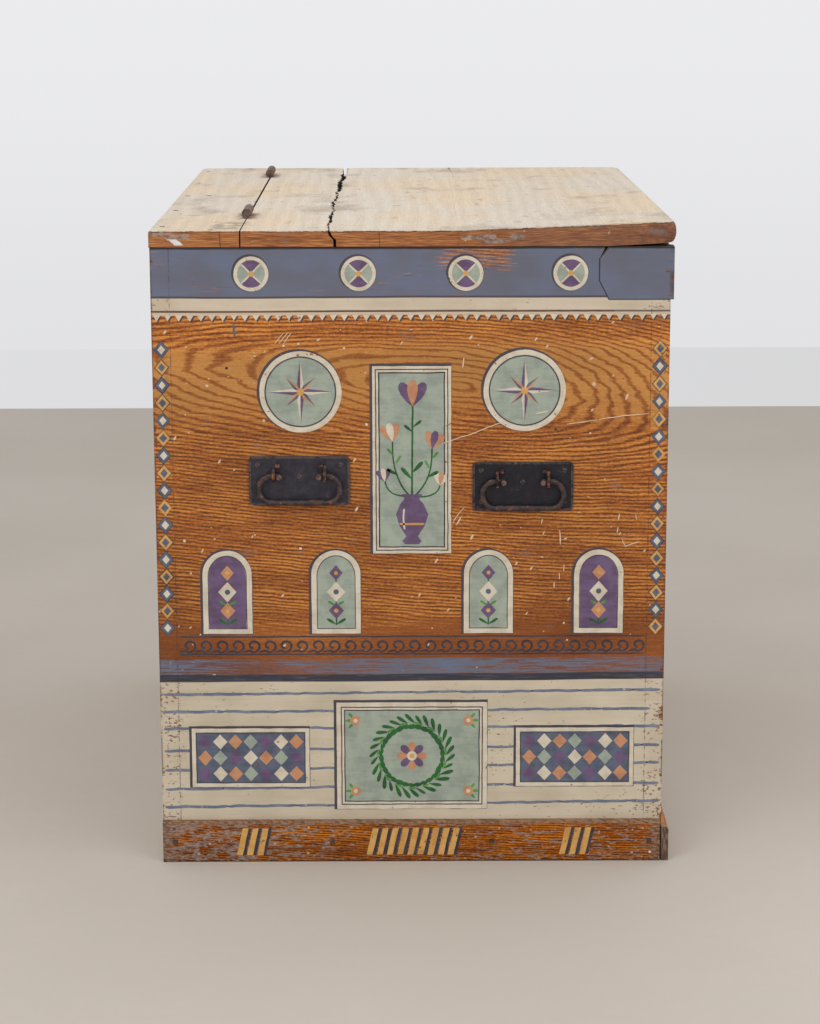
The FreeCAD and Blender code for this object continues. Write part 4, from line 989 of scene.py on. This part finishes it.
# Slanted bars on the plinth, each with a dark edge
BAR_FOOT, BAR_TOP, BAR_SLOPE, BAR_PITCH, BAR_WIDTH, BAR_EDGE = 9, 45, 8, 13, 7.5, 4
for x, bars in ((-206, 3), (0, 9), (208, 3)):
    for i in range(bars):
        left = x + (i - bars / 2) * BAR_PITCH
        for colour, depth, start, width in (
                ("ochre", 2, left, BAR_WIDTH), ("ink", 1, left + BAR_WIDTH, BAR_EDGE)):
            end = start + width
            foot = [(start, BAR_FOOT), (end, BAR_FOOT)]
            bar = foot + [(end + BAR_SLOPE, BAR_TOP), (start + BAR_SLOPE, BAR_TOP)]
            paint[colour].patch(outline(bar), depth, PLINTH_FACE, steady=0.8)

# Scratches and knocks in the graining, down to the pale ground
SCRATCHES = (
    ((38, 545), (80, 559), (118, 574)), ((155, 583), (170, 586)), ((194, 569), (243, 577), (296, 583)),
    ((64, 641), (65, 653)), ((52, 444), (58, 454), (66, 464)), ((56, 441), (63, 452)),
    ((163, 443), (164, 449)), ((186, 435), (187, 416)), ((260, 447), (261, 455)), ((282, 448), (281, 454)),
    ((258, 431), (259, 438)), ((264, 424), (269, 413), (287, 420)), ((192, 381), (192, 389)),
    ((186, 371), (186, 379)), ((179, 360), (180, 367)))
SCRATCHES += tuple(((x, 671), (x + 6, 679), (x + 11, 685)) for x in (-168, -163, -158))
for path in SCRATCHES:
    paint["scratch"].stroke(line(path, 4), 0.9 if len(path) == 3 else 1.5, 6, steady=0.9)
KNOCKS = ((227, 620, 2.4), (-183, 575, 1.8), (-55, 570, 1.6), (-253, 619, 1.7), (-285, 422, 2.0),
          (-139, 412, 1.8), (-157, 669, 1.5), (-139, 671, 1.7), (-83, 666, 1.6))
for x, z, radius in KNOCKS:
    paint["scratch"].patch(disc(x, z, radius, 9), 6, steady=1.2)
paint["slate"].stroke(line([(-218, 696), (-218, 688), (-217, 680)], 4), 2.6, 1, steady=0.8)
for x, z in ((-228, 641), (180, 563)):
    paint["ink"].patch(disc(x, z, 1.9, 10), 1, steady=0.4)
for x, z in ((-305.5, 45), (-121, 45.5)):
    paint["ink"].patch(disc(x, z, 1.7, 9), 1, PLINTH_FACE, steady=0.6)
paint["scratch"].patch(disc(305.5, 11.5, 1.8, 9), 1, PLINTH_FACE, steady=0.6)


def painted_unit(loop, depth):
    """One motif as a closed mesh about the origin, to be repeated along the face."""
    unit = Coats()
    unit.prism(loop, depth, 0.0)
    return mesh_from(unit.bm, "unit")


def painted_unit_stroke(path, width, depth):
    """One brush line as such a mesh."""
    unit = Coats()
    unit.stroke(path, width, depth, 0.0, steady=0.0)
    return mesh_from(unit.bm, "unit")


TOOTH = [(-4.6, 0.0), (0.0, -7.5), (4.6, 0.0)]
tooth_row = [((-313 + 13.6 * i, FACE, 707), 0.0) for i in range(47)]
repeats = {
    "dog_tooth_shadows": (painted_unit(TOOTH, 1), [((x + 1.6, y, z - 1.2), t) for (x, y, z), t in tooth_row],
                          "shadow", 0.9, 1.12),
    "dog_tooth_row": (painted_unit(TOOTH, 2), tooth_row, "ivory", 0.85, 1.05),
}
lozenge, small_lozenge = diamond(0, 0, 8.5, 10), diamond(0, 0, 4.6, 5.6)
rungs = [(side * 308.3, 309 + 22.2 * i) for side in (-1, 1) for i in range(17)]
for name, shape, depth, kind, pick in (
        ("side_lozenge_shadows", [(x * 1.16, z * 1.14) for x, z in lozenge], 1, "shadow", (0, 1)),
        ("slate_side_lozenges", lozenge, 2, "slate", (0,)),
        ("ochre_side_lozenges", lozenge, 2, "ochre", (1,)),
        ("ivory_side_diamonds", small_lozenge, 3, "ivory", (0,)),
        ("slate_side_diamonds", small_lozenge, 3, "slate", (1,))):
    chosen = [((x, FACE, z), 3.0 * math.sin(7 * i)) for i, (x, z) in enumerate(rungs) if i % 2 in pick]
    repeats[name] = (painted_unit(outline(shape, 4), depth), chosen, kind, 0.92, 1.06)
SCROLL_Z = 285.5
spiral = [(-10.5 + 21 * t, -8.5 + 2.0 * math.sin(math.pi * t)) for t in (0, 0.25, 0.5)]
for t in (i / 26 for i in range(27)):
    turn = -1.9 + 6.6 * t
    spiral.append((2.4 + (9.4 - 6.4 * t) * math.cos(turn), -0.2 + (8.6 - 5.9 * t) * math.sin(turn)))
scroll_row = [((-284 + 20.3 * i, FACE, SCROLL_Z), 0.0) for i in range(29)]
repeats["running_scrolls"] = (painted_unit_stroke(spiral, 2.6, 2), scroll_row, "ink", 0.95, 1.04)
WREATH_RADIUS = 43
wreath = [(WREATH_RADIUS * math.cos(math.radians(a)), WREATH_RADIUS * math.sin(math.radians(a)), a)
          for a in range(0, 360, 12)]
leaves = [((x, FACE, tablet_z + z), -(a + lean)) for x, z, a in wreath for lean in (-38, 30)]
buds = [((x * 1.02, FACE, tablet_z + z * 1.02), -(a + 8)) for x, z, a in wreath[::2]]
repeats["wreath_leaves"] = (painted_unit(teardrop(17, 6.2), 3), leaves, "leaf", 0.85, 1.15)
repeats["wreath_buds"] = (painted_unit(teardrop(10, 4.2), 4), buds, "bud", 0.8, 1.1)
for name, (unit, places, kind, least, most) in repeats.items():
    finished(name, repeated(unit, places, kind, least, most), kind, "carcase")
for z in (SCROLL_Z - 11.5, SCROLL_Z + 11.5):
    paint["ink"].stroke(line([(-294, z), (294, z)]), 1.9, 1)
for name, coats in paint.items():
    finished(f"{name}_ornament", mesh_from(coats.bm, name), name, "carcase")

# The lid's boards, with the crack, the warp and the worn edges

rng = random.Random(7)
DRIFT = ((0, 1.2), (0.06, -1.6), (0.13, 0.4), (0.19, -2.0), (0.27, 1.6), (0.31, -1.2), (0.4, -2.8),
         (0.46, 0.8), (0.55, -2.4), (0.61, 2.0), (0.72, -0.8), (0.8, 2.4), (0.86, 0.0), (0.94, 3.2),
         (1.0, 0.8))
GAPS = ((0, 3.2), (0.03, 1.8), (0.1, 3.2), (0.2, 4.2), (0.3, 2.2), (0.38, 4.4), (0.5, 2.6), (0.6, 4.6),
        (0.7, 6.0), (0.8, 5.6), (0.9, 6.6), (0.96, 5.4), (1.0, 9.0))


def level_at(table, share):
    """The level at a share of the length, straight between the table's pairs."""
    for (s0, d0), (s1, d1) in zip(table, table[1:]):
        if share <= s1:
            return d0 + (d1 - d0) * (share - s0) / (s1 - s0)
    return table[-1][1]


# The crack's way along the boards: share of the length, offset from its line, width
crack = []
share = 0.0
while share < 1:
    gap = level_at(GAPS, share) * rng.uniform(0.75, 1.55)
    crack.append((share, level_at(DRIFT, share) + rng.uniform(-1.6, 1.6), max(gap, 0.5)))
    share += rng.uniform(0.004, 0.014)
crack.append((1.0, level_at(DRIFT, 1.0), level_at(GAPS, 1.0)))
# How far the crack slants aside at each level
SLANTS = ((LID_TOP, 0.0), (LID_TOP - 7, 3.2), (LID_TOP - 11.5, 8.0), (FLAP_BOTTOM, 8.2))


def crack_edge(side, slant):
    """One side of the crack at one level, from the painted end to the far end."""
    return [(CRACK_LINE + offset + side * gap / 2 + slant * (1 - 0.8 * along),
             -HALF_LENGTH + 2 * HALF_LENGTH * along) for along, offset, gap in crack]


def plank(name, sections, node_name, body="flap"):
    """A lid board through its sections, one after the other, with its arrises eased."""
    bm = bmesh.new()
    loft(bm, [vertices(bm, section) for section in sections])
    board = finished(name, mesh_from(bm, name), "lid", body)
    eased = board.modifiers.new("eased", "BEVEL")
    eased.width, eased.segments, eased.limit_method, eased.angle_limit = 0.0005, 2, "ANGLE", math.radians(50)
    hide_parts(node_name)


inner_x, bed_x = HINGE_LINE + JOINT_GAP / 2, HINGE_LINE + BED_DEPTH
worn_x = inner_x + 1.1
far, near = HINGES["far"], HINGES["near"]
hinge_side = [
    (inner_x, HALF_LENGTH), (inner_x, far + HINGE_BED), (bed_x, far + HINGE_BED), (bed_x, far - HINGE_BED),
    (worn_x, far - HINGE_BED), (worn_x, near + HINGE_BED),
    (bed_x, near + HINGE_BED), (bed_x, near - HINGE_BED),
    (inner_x, near - HINGE_BED), (inner_x, -HALF_LENGTH)]
right_side = [(MIDDLE_EDGE, HALF_LENGTH), (MIDDLE_EDGE, -HALF_LENGTH)]
for name, side, sound_side, node_name in (
        ("cracked_inner_board", -1, hinge_side, "flap_inner_board"),
        ("cracked_middle_board", 1, right_side, "flap_middle_board")):
    sections = [[(x, y, z) for x, y in crack_edge(side, slant) + sound_side] for z, slant in SLANTS]
    plank(name, sections, node_name)

RIGHT_EDGE, NOSE, PLAN_RADIUS, UNDERCUT, UNDERCUT_RUN = 327.0, 7.5, 15.0, 3.6, 75.0
STRIP_EDGE, STRIP_RADIUS, STRIP_ROUND = -322.0, 9.0, 4.0


def turned_in(y, radius):
    """How far a long edge comes in at one place, towards the corners that are round in plan."""
    into = max(radius - (HALF_LENGTH - abs(y)), 0)
    return radius - math.sqrt(radius ** 2 - into ** 2)


def corner_stations(radius):
    """Places along a board that follow its round corners at both ends."""
    steps = [HALF_LENGTH - radius * (1 - math.cos(math.radians(15 * i))) for i in range(7)]
    return [side * step for step in steps for side in (-1, 1)]


def outer_section(y):
    """The warped outer board across: its free edge a blunt nose that turns in at the two outer corners."""
    edge = RIGHT_EDGE - turned_in(y, PLAN_RADIUS)
    top = LID_TOP + OUTER_LIFT * (HALF_LENGTH - y) / (2 * HALF_LENGTH)
    low = FLAP_BOTTOM + UNDERCUT
    middle, half = (top + low) / 2, (top - low) / 2
    turns = [math.radians(15 * i) for i in range(-5, 6)]
    nose = [(edge - NOSE + NOSE * math.cos(turn) ** 0.8, middle + half * math.sin(turn)) for turn in turns]
    across = [(MIDDLE_EDGE, FLAP_BOTTOM), (edge - UNDERCUT_RUN, FLAP_BOTTOM), (edge - NOSE, low), *nose,
              (edge - NOSE, top), (MIDDLE_EDGE, LID_TOP)]
    return [(x, y, z) for x, z in across]


def strip_section(y):
    """The nailed strip across: worn round along its outer edge and at its two outer corners."""
    edge = STRIP_EDGE + turned_in(y, STRIP_RADIUS)
    at_hinge = any(abs(y - place) < HINGE_BED for place in HINGES.values())
    joint = HINGE_LINE - (BED_DEPTH if at_hinge else JOINT_GAP / 2)
    turns = [math.radians(18 * i) for i in range(6)]
    nose = [(edge + STRIP_ROUND * (1 - math.cos(turn)), LID_TOP - STRIP_ROUND * (1 - math.sin(turn)))
            for turn in turns]
    return [(x, y, z) for x, z in [(joint, BODY_TOP), (edge, BODY_TOP), *nose, (joint, LID_TOP)]]


straight = HALF_LENGTH - PLAN_RADIUS
run = [-straight + 2 * straight * i / 16 for i in range(1, 16)]
stations = sorted(corner_stations(PLAN_RADIUS) + run)
plank("warped_outer_board", [outer_section(y) for y in stations], "flap_outer_board")
bed_ends = [place + side * (HINGE_BED + step) for place in HINGES.values() for side in (-1, 1)
            for step in (-0.05, 0.05)]
stations = sorted(corner_stations(STRIP_RADIUS) + bed_ends)
plank("worn_lid_strip", [strip_section(y) for y in stations], "lid_strip", "carcase")

splinters = bmesh.new()
for i in range(16):
    along, offset, gap = crack[int(rng.uniform(0.12, 0.97) * len(crack))]
    x, y = CRACK_LINE + offset, -HALF_LENGTH + 2 * HALF_LENGTH * along
    side = rng.choice((-1, 1))
    length, width, rise = rng.uniform(9, 26), rng.uniform(1.2, 2.6), rng.uniform(0.2, 1.4)
    root = x + side * (gap / 2 + width * 0.3)
    shape = [(root, y - length / 2, 0), (root - side * width, y, rise), (root, y + length / 2, 0)]
    loft(splinters, [vertices(splinters, [(px, py, LID_TOP - 0.6 + lift) for px, py, lift in shape]),
                     vertices(splinters, [(px, py, LID_TOP - 3.5) for px, py, lift in shape])])
finished("crack_splinters", mesh_from(splinters, "crack_splinters"), "lid", "flap")


# Handles: round bails and slotted screws

ROD_SIDES, ROD_UNEVEN = 18, 0.07
RUN_STEP, BEND_STEPS = 4, 10


def rod(name, path, radius):
    """A forged rod along a path, a little uneven, with dimpled ends."""
    normal = (path[1] - path[0]).orthogonal().normalized()
    rows = []
    for i, point in enumerate(path):
        ahead = (path[min(i + 1, len(path) - 1)] - path[max(i - 1, 0)]).normalized()
        normal = (normal - ahead * normal.dot(ahead)).normalized()
        side = ahead.cross(normal)
        rows.append([])
        for k in range(ROD_SIDES):
            turn = 2 * math.pi * k / ROD_SIDES
            out = normal * math.cos(turn) + side * math.sin(turn)
            place = point + out * 3
            lump = 1 + ROD_UNEVEN * (noise.noise(place / 4.5) + 0.5 * noise.noise(place / 1.7))
            rows[-1].append(point + out * radius * lump)
    for end, next_to_end in ((0, 1), (-1, -2)):
        centre, ahead = path[end], (path[end] - path[next_to_end]).normalized()
        cap = [[centre + (point - centre) * size + ahead * rise for point in rows[end]]
               for size, rise in ((0.8, 0.7), (0.45, 0.35))]
        rows = cap[::-1] + rows if end == 0 else rows + cap
    bm = bmesh.new()
    loft(bm, [vertices(bm, points) for points in rows][::-1])
    return mesh_from(bm, name)


def straight_run(start, end):
    """Points from one place, left out, to the next."""
    count = max(1, round((end - start).length / RUN_STEP))
    return [start.lerp(end, i / count) for i in range(1, count + 1)]


def bent(corners, radii):
    """A path through corners, each turned on its own radius, with points along runs and bends."""
    corners = [Vector(corner) for corner in corners]
    path = [corners[0]]
    for before, here, after, radius in zip(corners, corners[1:], corners[2:], radii):
        inward, outward = (here - before).normalized(), (after - here).normalized()
        start = here - inward * radius
        path += straight_run(path[-1], start)
        centre = start + outward * radius
        for i in range(1, BEND_STEPS + 1):
            turn = math.pi / 2 * i / BEND_STEPS
            path.append(centre - outward * radius * math.cos(turn) + inward * radius * math.sin(turn))
    return path + straight_run(path[-1], corners[-1])


def slotted_head():
    """A worn screw head with its slot, facing -Y from the origin."""
    bm = bmesh.new()
    turns = [2 * math.pi * k / 24 for k in range(24)]
    rings = [vertices(bm, [(radius * math.cos(turn), y, radius * math.sin(turn)) for turn in turns])
             for radius, y in ((3.55, 0.25), (3.6, -0.15), (3.0, -0.5), (1.6, -0.68))]
    loft(bm, rings[::-1])
    cutter = bmesh.new()
    slot_box = Matrix.LocRotScale((0, -0.0009, 0), None, (0.009, 0.0013, 0.0009))
    bmesh.ops.create_cube(cutter, size=1.0, matrix=slot_box)
    head, slot = linked("head", mesh_from(bm, "head")), linked("slot", mesh_from(cutter, "slot"))
    cutting = head.modifiers.new("slot", "BOOLEAN")
    cutting.operation, cutting.object, cutting.solver = "DIFFERENCE", slot, "EXACT"
    return evaluated(head, slot)


# Bails turn about a pivot over the plate's middle and in front of the face
PIVOT_RISE, PIVOT_REACH, PLATE_FLOOR = 7.0, 7.6, 1.7
BAIL_REACH, HOOK, DROP, STUB, BAIL_RADIUS = 50.45, 24.55, 34.0, 10.3, 3.45
BEND_RADII = (5, 16, 16, 16, 16, 5)
SCREW_ACROSS, SCREW_UP = 52, 20
SCREW_TURNS = (52, 15, 80, -35, 10)
for side, (x, z) in HANDLES.items():
    pivot_z, y = z + PIVOT_RISE, FACE - PIVOT_REACH
    half = [(-HOOK, -STUB, 0), (-HOOK, 0, 0), (-BAIL_REACH, 0, 0), (-BAIL_REACH, 0, -DROP)]
    corners = [(x + px, y + py, pivot_z + pz) for px, py, pz in half]
    corners += [(x - px, y + py, pivot_z + pz) for px, py, pz in half[::-1]]
    ring = rod(f"{side}_bail", bent(corners, BEND_RADII), BAIL_RADIUS)
    ring = finished(f"{side}_forged_bail", ring, "rusty", f"{side}_bail", smooth=True)
    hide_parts(f"{side}_handle_bail")
    spots = [(0, 5)] + [(across * SCREW_ACROSS, up * SCREW_UP) for across in (-1, 1) for up in (-1, 1)]
    places = [((x + px, FACE - PLATE_FLOOR, z + pz), turn) for (px, pz), turn in zip(spots, SCREW_TURNS)]
    heads = repeated(slotted_head(), places, "plate")
    heads = finished(f"{side}_slotted_screws", heads, "plate", "carcase")
    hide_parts(f"{side}_handle_screws")

# Room, light and camera

# Half the floor's width, and where the strip at the wall's foot starts and ends, in metres
ROOM = 7
SKIRTING_NEAR, SKIRTING_FAR = 2.86, 3.83


def strip(name, near, far, material):
    """A piece of the floor, as wide as the room."""
    made = bpy.data.meshes.new(name)
    made.from_pydata([(-ROOM, near, 0), (ROOM, near, 0), (ROOM, far, 0), (-ROOM, far, 0)], [], [(0, 1, 2, 3)])
    made.materials.append(material)
    thing = linked(name, made)
    thing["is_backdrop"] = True


def pale_floor():
    """Plain and pale, with faint clouds, and painted shade that makes it a little darker towards the back and
    the left.
    """
    f = Finish("pale_floor")
    cloud = f.noise((1.3, 1.3, 1.3), seed=2.0, detail=4.0)
    fine = f.noise((60, 60, 60), seed=5.0)
    tone = f.ramp(cloud + (fine - 0.5) * 0.1, 0.3, 0.7, rgb(200, 191, 181), rgb(192, 183, 172))
    tone = f.darken(tone, 1.03 - f.fade(f.y, -0.9, 1.1) * 0.1 - f.fall(f.x, -1.1, 0.2) * 0.03)
    return f.surface(tone, 0.75, fine, 0.0003)


def shown(f, lit, glow, end):
    """Ends a finish that glows evenly where it is seen, straight or in metal, and else is lit or lights."""
    camera_ray, glossy_ray, through_ray = (
        f.node("ShaderNodeLightPath", output=f"Is {kind} Ray")
        for kind in ("Camera", "Glossy", "Transmission"))
    seen = camera_ray + glossy_ray + through_ray
    f.node(end, inputs={0: f.node("ShaderNodeMixShader", inputs={0: seen, 1: lit, 2: glow})})
    return f.material


def soft_room():
    """The world: pale as a wall where it is seen, lighter upwards, and a soft white light from all sides."""
    f = Finish("soft_room", "worlds", "Generated")
    tone = f.ramp(f.z, -0.16, -0.03, rgb(226, 226, 228), rgb(235, 235, 237))
    wall = f.node("ShaderNodeBackground", inputs={"Color": tone, "Strength": 1.0})
    light = f.node("ShaderNodeBackground", inputs={"Color": (1.0, 1.0, 1.0, 1.0), "Strength": 0.62})
    return shown(f, light, wall, "ShaderNodeOutputWorld")


def skirting():
    """A strip of the floor that stands for the foot of the wall, so that nothing upright hides the chest."""
    f = Finish("pale_skirting")
    tone = f.ramp(f.x, -1.6, 1.6, rgb(223, 223, 226), rgb(215, 215, 216))
    glow = f.node("ShaderNodeEmission", inputs={"Color": tone, "Strength": 1.0})
    lit = f.node("ShaderNodeBsdfPrincipled", inputs={"Base Color": rgb(228, 228, 230), "Roughness": 0.9})
    return shown(f, lit, glow, "ShaderNodeOutputMaterial")


strip("floor", -ROOM, SKIRTING_NEAR, pale_floor())
strip("skirting", SKIRTING_NEAR, SKIRTING_FAR, skirting())
bpy.context.scene.world = soft_room()


def lamp(name, place, target, size, power):
    """A soft box that faces its target."""
    light = bpy.data.lights.new(name, "AREA")
    light.shape, light.size, light.size_y, light.energy = "RECTANGLE", *size, power
    thing = linked(name, light)
    thing.location = place
    thing.rotation_euler = (Vector(target) - Vector(place)).to_track_quat("-Z", "Y").to_euler()


lamp("overhead", (0.3, -0.6, 4.0), (0, 0.2, 0), (5.0, 4.0), 62)
lamp("front_left", (-2.6, -4.2, 2.9), (0, 0, 0.4), (2.6, 2.2), 46)
lamp("front_right", (3.0, -3.8, 2.4), (0, 0, 0.4), (2.4, 2.2), 26)

# The camera, fitted to the chest's corners in the photo, with its focal length in pixels
FOCAL_LENGTH, IMAGE_HEIGHT, SENSOR = 2600, 1024, 36.0
camera = bpy.data.cameras.new("camera")
camera.lens, camera.sensor_width = FOCAL_LENGTH / IMAGE_HEIGHT * SENSOR, SENSOR
camera.clip_start, camera.clip_end = 0.05, 60
pitch, yaw, roll = 0.21731, 0.00096, -0.00302
ahead = Vector((math.sin(yaw) * math.cos(pitch), math.cos(yaw) * math.cos(pitch), -math.sin(pitch)))
view = linked("camera", camera)
view.location = (-0.00461, -3.62250, 1.16016)
view.rotation_euler = (ahead.to_track_quat("-Z", "Y").to_matrix() @ Matrix.Rotation(roll, 3, "Z")).to_euler()
bpy.context.scene.camera = view
bpy.context.scene.view_settings.view_transform = "Standard"

size = {"cad": [list(corner) for corner in cad_box], "visual": [list(corner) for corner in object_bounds()]}
